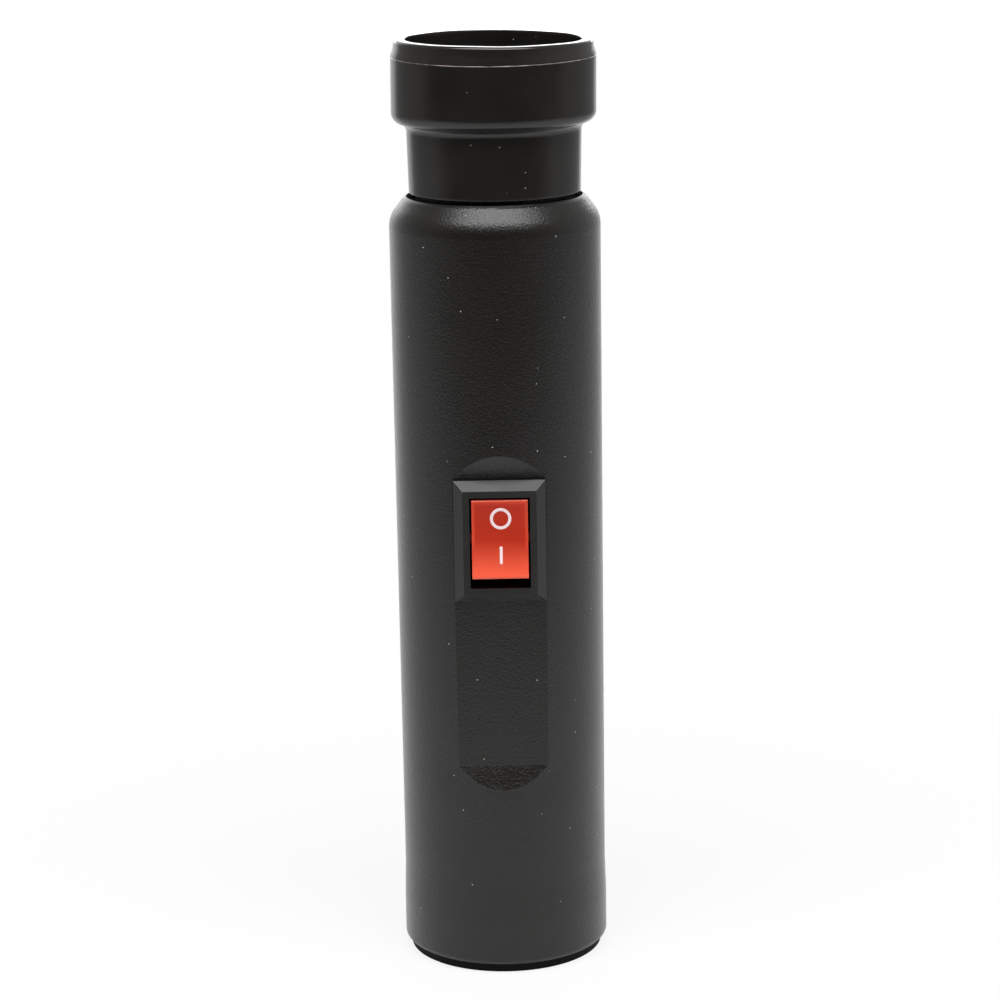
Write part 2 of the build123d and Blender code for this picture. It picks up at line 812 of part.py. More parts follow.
# Contact lever, tipped away from the load blade
lever_angle = math.radians(lever_tilt)
lever_plane = Plane(
    origin=(0, lever_y, switch_height),
    x_dir=(0, math.cos(lever_angle), math.sin(lever_angle)),
    z_dir=(1, 0, 0),
)
contact_plane = Plane(
    origin=lever_plane.from_local_coords((-turn_gap, lever_contact_offset, 0)),
    x_dir=(1, 0, 0),
    z_dir=lever_plane.x_dir,
)
with BuildPart() as contact_lever:
    with BuildSketch(lever_plane):
        with Locations((-turn_gap - lever_thickness / 2, 0)):
            Rectangle(lever_thickness, 2 * lever_half_length)
    extrude(amount=lever_width / 2, both=True)
    with BuildSketch(contact_plane):
        Circle(lever_contact_radius)
    extrude(amount=lever_contact_height)

# Common blade, with a rounded edge and two ears that carry the lever
blade_end = frame_back + blade_length
ear_inner = blade_width / 2 - blade_ear
with BuildPart() as terminal_common:
    with BuildSketch(Plane.XY.offset(switch_height)):
        with BuildLine():
            Polyline(
                (-blade_width / 2, lever_y - ear_height),
                (-ear_inner, lever_y - ear_height),
                (-ear_inner, lever_y),
                (ear_inner, lever_y),
                (ear_inner, lever_y - ear_height),
                (blade_width / 2, lever_y - ear_height),
                (blade_width / 2, blade_end - blade_corner),
                (blade_width / 2 - blade_corner, blade_end),
                (blade_corner - blade_width / 2, blade_end),
                (-blade_width / 2, blade_end - blade_corner),
                close=True,
            )
        make_face()
    extrude(amount=blade_thickness / 2, both=True)
    knife_edges = terminal_common.edges().filter_by(Axis.X).filter_by_position(
        Axis.Y, lever_y - turn_gap, lever_y + turn_gap
    )
    fillet(knife_edges, blade_thickness / 2 - turn_gap)
    with BuildSketch(Plane.XY.offset(switch_height)):
        with Locations((0, blade_end - blade_hole_inset)):
            Circle(blade_hole_radius)
    extrude(amount=blade_thickness, both=True, mode=Mode.SUBTRACT)

# Load blade, bent over the floor to make the fixed contact
with BuildPart() as terminal_load:
    with BuildSketch(Plane.XY.offset(load_blade_height)):
        with BuildLine():
            Polyline(
                (-blade_width / 2, floor_face - load_pad_height),
                (blade_width / 2, floor_face - load_pad_height),
                (blade_width / 2, blade_end - blade_corner),
                (blade_width / 2 - blade_corner, blade_end),
                (blade_corner - blade_width / 2, blade_end),
                (-blade_width / 2, blade_end - blade_corner),
                close=True,
            )
        make_face()
        with Locations((0, blade_end - blade_hole_inset)):
            Circle(blade_hole_radius, mode=Mode.SUBTRACT)
    extrude(amount=blade_thickness / 2, both=True)
    with BuildSketch(Plane.XZ.offset(-floor_face)):
        with Locations((0, load_blade_height)):
            Rectangle(blade_width, load_pad_length, align=(Align.CENTER, Align.MAX))
    extrude(amount=load_pad_height)

# Lamp tube: flange, bore, lens seat and pocket
with BuildPart() as lamp_tube:
    with BuildSketch(Plane.XZ):
        with BuildLine():
            Polyline(
                (lamp_bore_radius, lamp_flange_bottom),
                (lamp_flange_radius, lamp_flange_bottom),
                (lamp_flange_radius, lamp_flange_top),
                (lamp_tube_radius, lamp_flange_top),
                (lamp_tube_radius, lamp_tube_top),
                (lens_pocket_radius, lamp_tube_top),
                (lens_pocket_radius, lens_seat_height),
                (lens_seat_radius, lens_seat_height),
                (lens_seat_radius, lens_seat_height - lens_seat_thickness),
                (lamp_bore_radius, lens_seat_height - lens_seat_thickness),
                close=True,
            )
        make_face()
    revolve(axis=Axis.Z)

# Lens: flat below, gently domed above, with a plain edge
with BuildPart() as lens:
    with BuildSketch(Plane.XZ):
        with BuildLine():
            rim_point = (lens_ring_inner, lens_seat_height + lens_edge)
            crown_point = (0, lens_seat_height + lens_edge + lens_crown)
            crown_radius = (lens_ring_inner**2 + lens_crown**2) / (2 * lens_crown)
            RadiusArc(rim_point, crown_point, -crown_radius)
            Polyline(
                crown_point,
                (0, lens_seat_height),
                (lens_pocket_radius, lens_seat_height),
                (lens_pocket_radius, lens_seat_height + lens_edge),
                rim_point,
            )
        make_face()
    revolve(axis=Axis.Z)

# Ring pressed in above the lens
with BuildPart() as lens_ring:
    with BuildSketch(Plane.XY.offset(lens_seat_height + lens_edge)):
        Circle(lens_pocket_radius)
        Circle(lens_ring_inner, mode=Mode.SUBTRACT)
    extrude(amount=lamp_tube_top - lens_seat_height - lens_edge)

# Snap ring above the lamp tube's flange
with BuildPart() as retaining_ring:
    with BuildSketch(Plane.XY.offset(lamp_flange_top)):
        Circle(opening_radius + snap_groove_depth - turn_gap)
        Circle(snap_ring_inner, mode=Mode.SUBTRACT)
        opening_width = 2 * opening_radius * math.sin(math.radians(snap_ring_opening / 2))
        with Locations((0, opening_radius)):
            Rectangle(opening_width, opening_radius, mode=Mode.SUBTRACT)
    extrude(amount=snap_ring_thickness)

# Heat sink: disc on the web, slug up the lamp tube, fins below
with BuildPart() as heat_sink:
    with BuildSketch(Plane.XY.offset(web_top)):
        Circle(lamp_flange_radius)
    extrude(amount=sink_disc_thickness)
    with BuildSketch(Plane.XY.offset(lamp_flange_bottom)):
        Circle(sink_slug_radius)
    extrude(amount=sink_slug_top - lamp_flange_bottom)
    with BuildSketch(Plane.XY.offset(web_top)):
        Circle(sink_core_radius)
        with PolarLocations(sink_fin_radius / 2, sink_fins, start_angle=180 / sink_fins):
            Rectangle(sink_fin_radius, sink_fin_thickness)
    extrude(amount=-sink_fin_length)
    with BuildSketch(Plane.XY.offset(sink_slug_top)):
        with Locations((wire_offset, wire_offset), (-wire_offset, wire_offset)):
            Circle(wire_hole_radius)
    extrude(amount=-(sink_slug_top - web_top), mode=Mode.SUBTRACT)
    with BuildSketch(Plane.XY.offset(sink_slug_top)):
        with Locations((lamp_screw_offset, 0), (-lamp_screw_offset, 0)):
            Circle(pilot_radius)
    extrude(amount=-pilot_depth, mode=Mode.SUBTRACT)

# Light source board and its two screws
with BuildPart() as led_board:
    with BuildSketch(Plane.XY.offset(sink_slug_top)):
        Circle(lamp_board_radius)
        with Locations((wire_offset, wire_offset), (-wire_offset, wire_offset)):
            Circle(wire_hole_radius, mode=Mode.SUBTRACT)
        with Locations((lamp_screw_offset, 0), (-lamp_screw_offset, 0)):
            Circle(pilot_radius, mode=Mode.SUBTRACT)
    extrude(amount=lamp_board_thickness)

with BuildPart() as led_board_screws:
    with BuildSketch(Plane.XY.offset(lamp_board_top)):
        with Locations((lamp_screw_offset, 0), (-lamp_screw_offset, 0)):
            Circle(screw_head_radius)
    extrude(amount=screw_head_height)
    with BuildSketch(Plane.XY.offset(lamp_board_top)):
        with Locations((lamp_screw_offset, 0), (-lamp_screw_offset, 0)):
            Circle(pilot_radius)
    extrude(amount=-(lamp_board_thickness + pilot_depth - slip_gap))

# The reflector is a parabola from its rim down to a throat, and the package just fits the throat
focus_height = lamp_board_top + focus_above_board
reflector_top = lens_seat_height - lens_seat_thickness
rim_above_focus = reflector_top - focus_height
focal_length = (math.hypot(rim_above_focus, reflector_rim_radius) - rim_above_focus) / 2
throat_radius = math.sqrt(4 * focal_length * (focal_length - focus_above_board + emitter_height))
emitter_side = (throat_radius - emitter_gap) * math.sqrt(2)

# Light source: a square package with a clear dome
with BuildPart() as led_emitter:
    with BuildSketch(Plane.XY.offset(lamp_board_top)):
        Rectangle(emitter_side, emitter_side)
    extrude(amount=emitter_height)
    with BuildSketch(Plane.XZ):
        with BuildLine():
            dome_base = lamp_board_top + emitter_height
            dome = CenterArc((0, dome_base), dome_radius, 0, 90)
            Polyline(dome @ 1, (0, dome_base), dome @ 0)
        make_face()
    revolve(axis=Axis.Z)


def parabola_point(radius, shift):
    """Point of the bowl at a radius, moved out along the surface's normal by a shift."""
    slope = radius / (2 * focal_length)
    across = slope / math.hypot(1, slope)
    down = 1 / math.hypot(1, slope)
    height = focus_height - focal_length + radius**2 / (4 * focal_length)
    return (radius + shift * across, height - shift * down)


bowl_radii = [
    throat_radius + (reflector_rim_radius - throat_radius) * step / reflector_steps
    for step in range(reflector_steps + 1)
]
inner_bowl = [parabola_point(radius, 0) for radius in bowl_radii]
outer_bowl = [parabola_point(radius, reflector_wall) for radius in bowl_radii]
rim_outer = lamp_bore_radius - reflector_clearance

# Reflector: a bowl with its focus in the dome, standing on the board
with BuildPart() as reflector:
    with BuildSketch(Plane.XZ):
        with BuildLine():
            Spline(*inner_bowl)
            outer = Spline(*outer_bowl[:-1])
            rim_bottom = reflector_top - reflector_rim_thickness
            Polyline(
                outer @ 1,
                (rim_outer, rim_bottom),
                (rim_outer, reflector_top),
                inner_bowl[-1],
            )
            Polyline(
                outer @ 0,
                ((outer @ 0).X, lamp_board_top),
                (throat_radius, lamp_board_top),
                inner_bowl[0],
            )
        make_face()
    revolve(axis=Axis.Z)

# Rubber cup: neck, cove, swell and bowl, with the cove and the swell running into each other
cup_bend = cup_swell_radius + cup_cove_radius
cup_sweep = math.degrees(math.acos(1 - (cup_radius - neck_top_radius) / cup_bend))
cup_swell_height = cup_cove_bottom + cup_bend * math.sin(math.radians(cup_sweep))
with BuildPart() as rubber_cup:
    with BuildSketch(Plane.XZ) as cup_profile:
        with BuildLine():
            neck = Line((neck_bottom_radius, neck_bottom), (neck_top_radius, cup_cove_bottom))
            CenterArc(
                (neck_top_radius + cup_cove_radius, cup_cove_bottom), cup_cove_radius, 180, -cup_sweep
            )
            swell = CenterArc(
                (cup_radius - cup_swell_radius, cup_swell_height),
                cup_swell_radius,
                -cup_sweep,
                cup_sweep,
            )
            Polyline(
                swell @ 1,
                (cup_radius, rim_taper_start),
                (cup_radius - rim_taper, rim_height),
                (cup_hole_radius, rim_height),
                (cup_hole_radius, cup_floor_top),
                (lamp_tube_radius, cup_floor),
                (lamp_tube_radius, neck_bottom),
                neck @ 0,
            )
        make_face()
        fillet(cup_profile.vertices().sort_by_distance(neck @ 0)[0], neck_edge_round)
        rim_corners = cup_profile.vertices().group_by(Axis.Y)[-1]
        fillet(rim_corners, rim_round)
    revolve(axis=Axis.Z)

# Series resistor on its leads, hung in the lamp wire
with BuildPart() as series_resistor:
    resistor_top = resistor_bottom + resistor_length
    resistor_plane = Plane(origin=(-wire_offset, wire_offset, 0), x_dir=(1, 0, 0), z_dir=(0, -1, 0))
    with BuildSketch(resistor_plane):
        with BuildLine():
            FilletPolyline(
                (0, resistor_bottom - lead_length),
                (lead_radius, resistor_bottom - lead_length),
                (lead_radius, resistor_bottom),
                (resistor_radius, resistor_bottom),
                (resistor_radius, resistor_bottom + resistor_cap_length),
                (resistor_waist, resistor_bottom + resistor_cap_length),
                (resistor_waist, resistor_top - resistor_cap_length),
                (resistor_radius, resistor_top - resistor_cap_length),
                (resistor_radius, resistor_top),
                (lead_radius, resistor_top),
                (lead_radius, resistor_top + lead_length),
                (0, resistor_top + lead_length),
                radius=[0, 0, lead_radius, 0, 0, 0, 0, lead_radius, 0, 0],
            )
            Line((0, resistor_top + lead_length), (0, resistor_bottom - lead_length))
        make_face()
    revolve(axis=Axis(resistor_plane.origin, (0, 0, 1)))


def wire(points):
    """Insulated wire along straight runs joined by tangent arcs."""
    with BuildPart() as strand:
        with BuildLine() as route:
            FilletPolyline(*points, radius=bend_radii(points))
        with BuildSketch(Plane(origin=route.line @ 0, z_dir=route.line % 0)):
            Circle(wire_radius)
        sweep()
    return strand


# Inner wires: cell to switch, switch to resistor, resistor to lamp, lamp to strip
solder_y = blade_end - blade_hole_inset
tab_wire_y = tab_y + sheet / 2 + wire_radius
tab_wire_z = upper_board_top + tab_wire_start
common_z = switch_height - blade_thickness / 2
wire_battery = wire(
    [
        (tab_x, tab_wire_y, tab_wire_z),
        (tab_x, tab_wire_y, tab_wire_z + tab_wire_rise),
        (0, solder_y, common_z - blade_wire_run),
        (0, solder_y, common_z),
    ]
)
load_z = load_blade_height + blade_thickness / 2
lead_end = resistor_bottom - lead_length
wire_switched = wire(
    [
        (0, solder_y, load_z),
        (0, solder_y, load_z + resistor_wire_run),
        (-wire_offset, wire_offset, lead_end - resistor_wire_run),
        (-wire_offset, wire_offset, lead_end),
    ]
)
wire_end = lamp_board_top + wire_radius
with BuildPart() as wire_lamp:
    with BuildSketch(Plane.XY.offset(resistor_top + lead_length)):
        with Locations((-wire_offset, wire_offset)):
            Circle(wire_radius)
    extrude(amount=wire_end - resistor_top - lead_length)
strip_wire = polar(strip_inner - wire_radius, strip_angle)
wire_return = wire(
    [
        (strip_wire[0], strip_wire[1], upper_board_top + tab_wire_start),
        (strip_wire[0], strip_wire[1], upper_board_top + return_wire_bend),
        (wire_offset, wire_offset, upper_board_top + return_wire_straight),
        (wire_offset, wire_offset, wire_end),
    ]
)

pieces = {
    "housing": housing,
    "base_cap": base_cap,
    "pivot_screw": pivot_screw,
    "lower_board": lower_board,
    "lower_link": lower_link,
    "lower_negative": lower_negative,
    "lower_springs": lower_springs,
    "return_strip": return_strip,
    "battery_cell_1": battery_cell_1,
    "battery_cell_2": battery_cell_2,
    "battery_cell_3": battery_cell_3,
    "upper_board": upper_board,
    "upper_board_screws": upper_board_screws,
    "upper_link": upper_link,
    "upper_positive": upper_positive,
    "upper_spring": upper_spring,
    "switch_body": switch_body,
    "rocker": rocker,
    "plunger": plunger,
    "plunger_spring": plunger_spring,
    "contact_lever": contact_lever,
    "terminal_common": terminal_common,
    "terminal_load": terminal_load,
    "lamp_tube": lamp_tube,
    "lens": lens,
    "lens_ring": lens_ring,
    "retaining_ring": retaining_ring,
    "heat_sink": heat_sink,
    "led_board": led_board,
    "led_board_screws": led_board_screws,
    "led_emitter": led_emitter,
    "reflector": reflector,
    "rubber_cup": rubber_cup,
    "series_resistor": series_resistor,
    "wire_battery": wire_battery,
    "wire_switched": wire_switched,
    "wire_lamp": wire_lamp,
    "wire_return": wire_return,
}
for node_name, piece in pieces.items():
    piece.part.label = node_name
    export_step(piece.part, f"parts/{node_name}.step")
    print(node_name, len(piece.part.solids()), round(piece.part.volume, 2))
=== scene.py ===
# %% [markdown]
# # Dressing an egg candler
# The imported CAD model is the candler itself, with every solid at its true size and place.
# This lesson adds what the solids leave out: the soft wave of the rubber cup and its moulding
# flash, the printed marks on the switch, the thread on the cap, and a finish for every piece.
# Nothing here changes a size. It starts by loading the model and keeping its box for later.

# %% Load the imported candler
import json
import math

import bpy
import numpy as np
from mathutils import Matrix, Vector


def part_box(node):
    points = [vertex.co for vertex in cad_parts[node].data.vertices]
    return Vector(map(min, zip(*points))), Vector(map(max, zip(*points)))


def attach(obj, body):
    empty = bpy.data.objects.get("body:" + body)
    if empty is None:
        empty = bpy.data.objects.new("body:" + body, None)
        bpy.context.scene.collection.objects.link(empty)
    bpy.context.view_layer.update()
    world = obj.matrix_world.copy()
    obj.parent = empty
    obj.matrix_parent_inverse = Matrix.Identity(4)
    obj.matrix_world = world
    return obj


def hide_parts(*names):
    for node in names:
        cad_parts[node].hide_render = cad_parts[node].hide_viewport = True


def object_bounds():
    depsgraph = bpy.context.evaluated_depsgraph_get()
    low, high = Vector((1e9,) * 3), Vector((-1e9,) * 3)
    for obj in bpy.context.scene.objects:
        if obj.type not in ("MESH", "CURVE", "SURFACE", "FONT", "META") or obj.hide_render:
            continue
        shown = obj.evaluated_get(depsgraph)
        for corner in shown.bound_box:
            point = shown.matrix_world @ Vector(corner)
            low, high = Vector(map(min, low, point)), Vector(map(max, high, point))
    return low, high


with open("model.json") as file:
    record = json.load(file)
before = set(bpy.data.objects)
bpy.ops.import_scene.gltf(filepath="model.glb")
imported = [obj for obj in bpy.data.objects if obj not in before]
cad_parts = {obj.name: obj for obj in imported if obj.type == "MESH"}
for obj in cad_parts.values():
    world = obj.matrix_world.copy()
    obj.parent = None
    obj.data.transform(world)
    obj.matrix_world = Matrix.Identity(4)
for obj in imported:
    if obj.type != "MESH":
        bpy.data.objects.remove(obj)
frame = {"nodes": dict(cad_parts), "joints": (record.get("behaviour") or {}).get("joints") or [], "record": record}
cad_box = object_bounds()
nodes = frame["nodes"]
mm = 0.001
print("loaded", len(nodes), "nodes, height", round(cad_box[1].z / mm, 2), "mm")

# %% [markdown]
# ## The camera
# The photograph was taken from a little above the cup, half a metre away, with a long lens.
# A camera is easiest to place by three directions: where it looks, its right and its up. Here it
# looks level at the candler, tips down, and is rolled by a degree, as a hand-levelled tripod is.
# A camera looks along its own -Z, so the third of its axes points back, away from the candler.

# %% Place the camera
camera_place = (0.1 * mm, -514.7 * mm, 197.3 * mm)
camera_tip = math.radians(13.03)
camera_roll = math.radians(0.951)
focal_pixels = 3133
photo_pixels = 1000
sensor_width = 36


def set_axes(placed, place, right, up, back):
    """Puts an object at a place, with its own X, Y and Z along three given directions."""
    axes = np.eye(4)
    axes[:3, :3] = np.stack([right, up, back], -1)
    axes[:3, 3] = place
    placed.matrix_world = Matrix(axes.tolist())


forward = np.array([0, math.cos(camera_tip), -math.sin(camera_tip)])
level_up = np.array([0, math.sin(camera_tip), math.cos(camera_tip)])
level_right = np.array([1.0, 0, 0])
camera_up = level_up * math.cos(camera_roll) + level_right * math.sin(camera_roll)
camera_right = level_right * math.cos(camera_roll) - level_up * math.sin(camera_roll)

camera_data = bpy.data.cameras.new("camera")
camera_data.sensor_width = sensor_width
camera_data.lens = sensor_width * focal_pixels / photo_pixels
camera = bpy.data.objects.new("camera", camera_data)
bpy.context.scene.collection.objects.link(camera)
set_axes(camera, camera_place, camera_right, camera_up, -forward)
bpy.context.scene.camera = camera
print("lens", round(camera_data.lens, 1), "mm")

# %% [markdown]
# ## Starting a material
# Every finish is a Principled shader fed by a few procedural textures. It could be wired by hand
# in the shader editor, but in a script a few helpers keep each recipe short. The first starts a
# material with its constant values on the shader's own sockets, the next adds a node and either
# links or sets each socket, and the last does sums.

# %% Start a material and add nodes


def start_finish(name, **values):
    """A new material, with each constant value on the socket of its Principled shader."""
    material = bpy.data.materials.new(name)
    material.use_nodes = True
    tree = material.node_tree
    shader = tree.nodes["Principled BSDF"]
    for socket, value in values.items():
        shader.inputs[socket.replace("_", " ")].default_value = value
    return material, tree, shader


def add_node(tree, kind, sockets, **settings):
    """Adds a shader node. A socket that is given another node's output is linked to it."""
    made = tree.nodes.new("ShaderNode" + kind)
    for setting, value in settings.items():
        setattr(made, setting, value)
    for socket, value in sockets.items():
        if isinstance(value, bpy.types.NodeSocket):
            tree.links.new(value, made.inputs[socket])
        else:
            made.inputs[socket].default_value = value
    return made


def calc(tree, operation, *values):
    """The result of one Math node, such as a product or the larger of two values."""
    return add_node(tree, "Math", dict(enumerate(values)), operation=operation).outputs["Value"]


print("the CAD model came with", len(bpy.data.materials), "plain materials")

# %% [markdown]
# ## Textures at their real size
# A moulded or drawn surface is never quite even, and noise gives it that. A texture could follow
# a UV map, but CAD solids have none, so every texture here reads Object coordinates. They are in
# metres, so a grain of a third of a millimetre is simply written as that size. Noise seldom
# leaves its middle part, which is therefore spread over the whole of a gloss or a colour.

# %% Textures and values
noise_low = 0.3
noise_high = 0.7


def object_place(tree):
    """The point on the piece, in metres."""
    return add_node(tree, "TexCoord", {}).outputs["Object"]


def noise(tree, size, detail=2.0):
    """Soft noise whose lumps are about as large as size, in metres."""
    sockets = {"Vector": object_place(tree), "Scale": 1 / size, "Detail": detail}
    return add_node(tree, "TexNoise", sockets).outputs["Fac"]


def remap(tree, value, low, high, start=noise_low, end=noise_high):
    """Spreads a value that runs from start to end over low to high, and holds it there."""
    sockets = {"Value": value, "From Min": start, "From Max": end, "To Min": low, "To Max": high}
    return add_node(tree, "MapRange", sockets).outputs["Result"]


print("noise is spread from", noise_low, "to", noise_high)

# %% [markdown]
# ## Colour, bump and who wears what
# Two nearby colours mixed by noise look like one real colour, where a single one looks painted
# on. A bump tilts only the shading, so it can be finer than any mesh and moves no CAD surface.
# A piece can be dressed by its name or by its material slot in the record. The slot is used
# here, because one finish often serves many pieces.

# %% Colours, bump and dressing


def tint(tree, value, dark, light):
    """A colour between two others, by a value from 0 to 1."""
    mix = add_node(tree, "Mix", {"Factor": value}, data_type="RGBA")
    mix.inputs["A"].default_value = (*dark, 1)
    mix.inputs["B"].default_value = (*light, 1)
    return mix.outputs["Result"]


def cover(tree, share, under, colour):
    """Lays a constant colour over another, by a share from 0 to 1."""
    mix = add_node(tree, "Mix", {"Factor": share, "A": under}, data_type="RGBA")
    mix.inputs["B"].default_value = (*colour, 1)
    return mix.outputs["Result"]


def emboss(tree, shader, height, depth):
    """Turns a height from 0 to 1 into a bump of the given depth, in metres."""
    bump = add_node(tree, "Bump", {"Height": height, "Distance": depth, "Strength": 1.0})
    tree.links.new(bump.outputs["Normal"], shader.inputs["Normal"])


def put_on(node, material):
    """Gives a CAD node a finish in place of its plain one."""
    node.data.materials.clear()
    node.data.materials.append(material)


def dress(slot, material):
    """Gives a finish to every CAD node of a material slot."""
    wearers = [piece["node"] for piece in frame["record"]["subparts"] if piece["material_slot"] == slot]
    for wearer in wearers:
        put_on(nodes[wearer], material)
    print(slot, "on", len(wearers), "nodes")


slots = sorted({piece["material_slot"] for piece in frame["record"]["subparts"]})
print(len(slots), "finishes to make:", ", ".join(slots))

# %% [markdown]
# ## Lint
# Black rubber and grained plastic show every speck of lint under a lamp. Voronoi cells a few
# millimetres wide, each with one point in it, give such a scatter: only where the surface passes
# within a tenth of a millimetre of a point does a speck appear, so they stay rare and small.

# %% A mask for lint


def lint(tree, spacing, speck):
    """1 inside rare specks of about the given radius, 0 elsewhere. Both sizes are in metres."""
    sockets = {"Vector": object_place(tree), "Scale": 1 / spacing}
    cells = add_node(tree, "TexVoronoi", sockets)
    return calc(tree, "LESS_THAN", cells.outputs["Distance"], speck / spacing)


housing_lint = (2.8 * mm, 0.11 * mm)
rubber_lint = (2.6 * mm, 0.09 * mm)
print("lint on the housing every", round(housing_lint[0] / mm, 1), "mm")

# %% [markdown]
# ## Grained black plastic
# The housing is moulded ABS with a fine leather grain: shallow pebbles a third of a millimetre
# across that turn every reflection into a soft, slightly sparkling sheen. Voronoi cells give the
# pebbles and noise breaks them up. The grain is only bump, because it is far smaller than any
# edge of the piece.

# %% Finish: grained black plastic
grain_size = 0.36 * mm
grain_depth = 0.07 * mm
wear_size = 18 * mm
housing_gloss = (0.28, 0.34)
housing_dark = (0.0046, 0.0037, 0.0029)
housing_light = (0.0064, 0.0052, 0.0042)
housing_lint_grey = (0.45, 0.44, 0.42)

black_plastic, tree, shader = start_finish(
    "black_plastic", Specular_IOR_Level=0.5, Sheen_Weight=0.34, Sheen_Roughness=0.35
)
pebble = add_node(
    tree, "TexVoronoi", {"Vector": object_place(tree), "Scale": 1 / grain_size}, feature="SMOOTH_F1"
)
pebbles = calc(tree, "MULTIPLY", pebble.outputs["Distance"], noise(tree, grain_size / 2))
emboss(tree, shader, pebbles, grain_depth)
worn = noise(tree, wear_size, detail=3.0)
tree.links.new(remap(tree, worn, *housing_gloss), shader.inputs["Roughness"])
body_colour = tint(tree, remap(tree, worn, 0, 1), housing_dark, housing_light)
dusty = cover(tree, lint(tree, *housing_lint), body_colour, housing_lint_grey)
tree.links.new(dusty, shader.inputs["Base Color"])
dress("black_plastic", black_plastic)

# %% [markdown]
# ## The cap's own finish
# The screw cap is a second moulding, and under the housing's pale lower edge it shows as a thin
# black band. It could share the housing's finish, but then it would mirror the white table as
# the housing does. So it gets a duller and darker one, with a finer grain.

# %% Finish: matt black cap
cap_gloss = (0.45, 0.6)
cap_dark = (0.0018, 0.0018, 0.0018)
cap_light = (0.0034, 0.0033, 0.0032)
cap_wear_size = 7 * mm
cap_grain_size = 0.3 * mm
cap_grain_depth = 0.015 * mm

cap_plastic, tree, shader = start_finish("cap_plastic", Specular_IOR_Level=0.12)
cap_wear = noise(tree, cap_wear_size, detail=3.0)
tree.links.new(remap(tree, cap_wear, *cap_gloss), shader.inputs["Roughness"])
cap_colour = tint(tree, remap(tree, cap_wear, 0, 1), cap_dark, cap_light)
tree.links.new(cap_colour, shader.inputs["Base Color"])
emboss(tree, shader, noise(tree, cap_grain_size), cap_grain_depth)
put_on(nodes["base_cap"], cap_plastic)
print("cap_plastic on the base cap, gloss", cap_gloss)

# %% [markdown]
# ## Black rubber
# The cup is pressed from nitrile rubber: smoother than the housing, a little brown, with a
# half gloss that dulls where it has been handled. One noise sets the gloss and the colour, and a
# weak bump keeps the reflections from looking machined. The mould's flash is painted pale in patches,
# a painted highlight for the light its thin fin catches, where the cup's mesh marks it with an attribute.

# %% Finish: black rubber
rubber_gloss = (0.16, 0.24)
skin_dark = (0.0112, 0.0098, 0.0086)
skin_light = (0.0150, 0.0132, 0.0116)
rubber_lint_grey = (0.5, 0.48, 0.46)
# painted highlight: the flash's pale colour stands for light caught by the thin fin
painted_flash_highlight = (0.42, 0.34, 0.34)
handling_size = 9 * mm
flash_patch_size = 1.6 * mm
flash_patch_edges = (0.38, 0.62)
flash_least = 0.2
skin_bump_size = 0.8 * mm
skin_bump_depth = 0.008 * mm

black_rubber, tree, shader = start_finish("black_rubber", Specular_IOR_Level=0.5)
handled = noise(tree, handling_size, detail=4.0)
tree.links.new(remap(tree, handled, *rubber_gloss), shader.inputs["Roughness"])
skin = tint(tree, remap(tree, handled, 0, 1), skin_dark, skin_light)
dusty = cover(tree, lint(tree, *rubber_lint), skin, rubber_lint_grey)
# painted highlight on the flash, laid on in patches where the mesh marks the fin
on_flash = add_node(tree, "Attribute", {}, attribute_name="flash").outputs["Fac"]
patches = noise(tree, flash_patch_size, detail=4.0)
flash_highlight_patches = remap(tree, patches, flash_least, 1, *flash_patch_edges)
flash_highlight_share = calc(tree, "MULTIPLY", on_flash, flash_highlight_patches)
tree.links.new(cover(tree, flash_highlight_share, dusty, painted_flash_highlight), shader.inputs["Base Color"])
emboss(tree, shader, noise(tree, skin_bump_size, detail=3.0), skin_bump_depth)
print("black_rubber gloss", rubber_gloss)

# %% [markdown]
# ## Satin bezel
# The switch frame is satin nylon, almost smooth, so its upper bevel mirrors the lamp as one even
# grey. A very weak and fine bump is enough, and the gloss drifts a little over half a centimetre.

# %% Finish: satin bezel
bezel_gloss = (0.34, 0.42)
bezel_dark = (0.0080, 0.0074, 0.0068)
bezel_light = (0.0106, 0.0100, 0.0092)
bezel_drift_size = 5 * mm
bezel_bump_size = 0.25 * mm
bezel_bump_depth = 0.006 * mm

switch_plastic, tree, shader = start_finish("switch_plastic", Specular_IOR_Level=0.5)
moulded = noise(tree, bezel_drift_size, detail=3.0)
tree.links.new(remap(tree, moulded, *bezel_gloss), shader.inputs["Roughness"])
bezel_colour = tint(tree, remap(tree, moulded, 0, 1), bezel_dark, bezel_light)
tree.links.new(bezel_colour, shader.inputs["Base Color"])
emboss(tree, shader, noise(tree, bezel_bump_size), bezel_bump_depth)
dress("switch_plastic", switch_plastic)

# %% [markdown]
# ## Red rocker
# The red plastic lets a little light in, which its subsurface shading gives. The paler sides and top edge and the
# almost orange lower end
# are painted light in the colour: a painted highlight at the edges, and a painted glow at the lower end, which
# faces up to the lamp.
# There is no lamp inside, since the switch is off. The colour is mixed towards a glowing orange by how near a
# point is to the sides, the top or the lower end, all measured in Object coordinates.

# %% Finish: red rocker
rocker_low, rocker_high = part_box("rocker")
rocker_middle = (rocker_low[2] + rocker_high[2]) / 2
rocker_top = rocker_high[2]
rocker_half = 4.6 * mm
red_gloss = (0.28, 0.34)
red_dark = (0.48, 0.027, 0.010)
red_light = (0.54, 0.035, 0.013)
# painted glow: the orange that the lower end, the sides and the top edge are lightened towards
painted_glow_orange = (0.98, 0.13, 0.062)
glow_reach = 5.6 * mm
glow_start = 0.5 * mm
top_glow = 0.3
top_glow_from = 0.9 * mm
top_glow_full = 0.4 * mm
side_glow = 0.35
side_glow_from = 0.6 * mm
side_glow_full = 0.3 * mm
flow_size = 4 * mm
rocker_bump_size = 0.3 * mm
rocker_bump_depth = 0.004 * mm

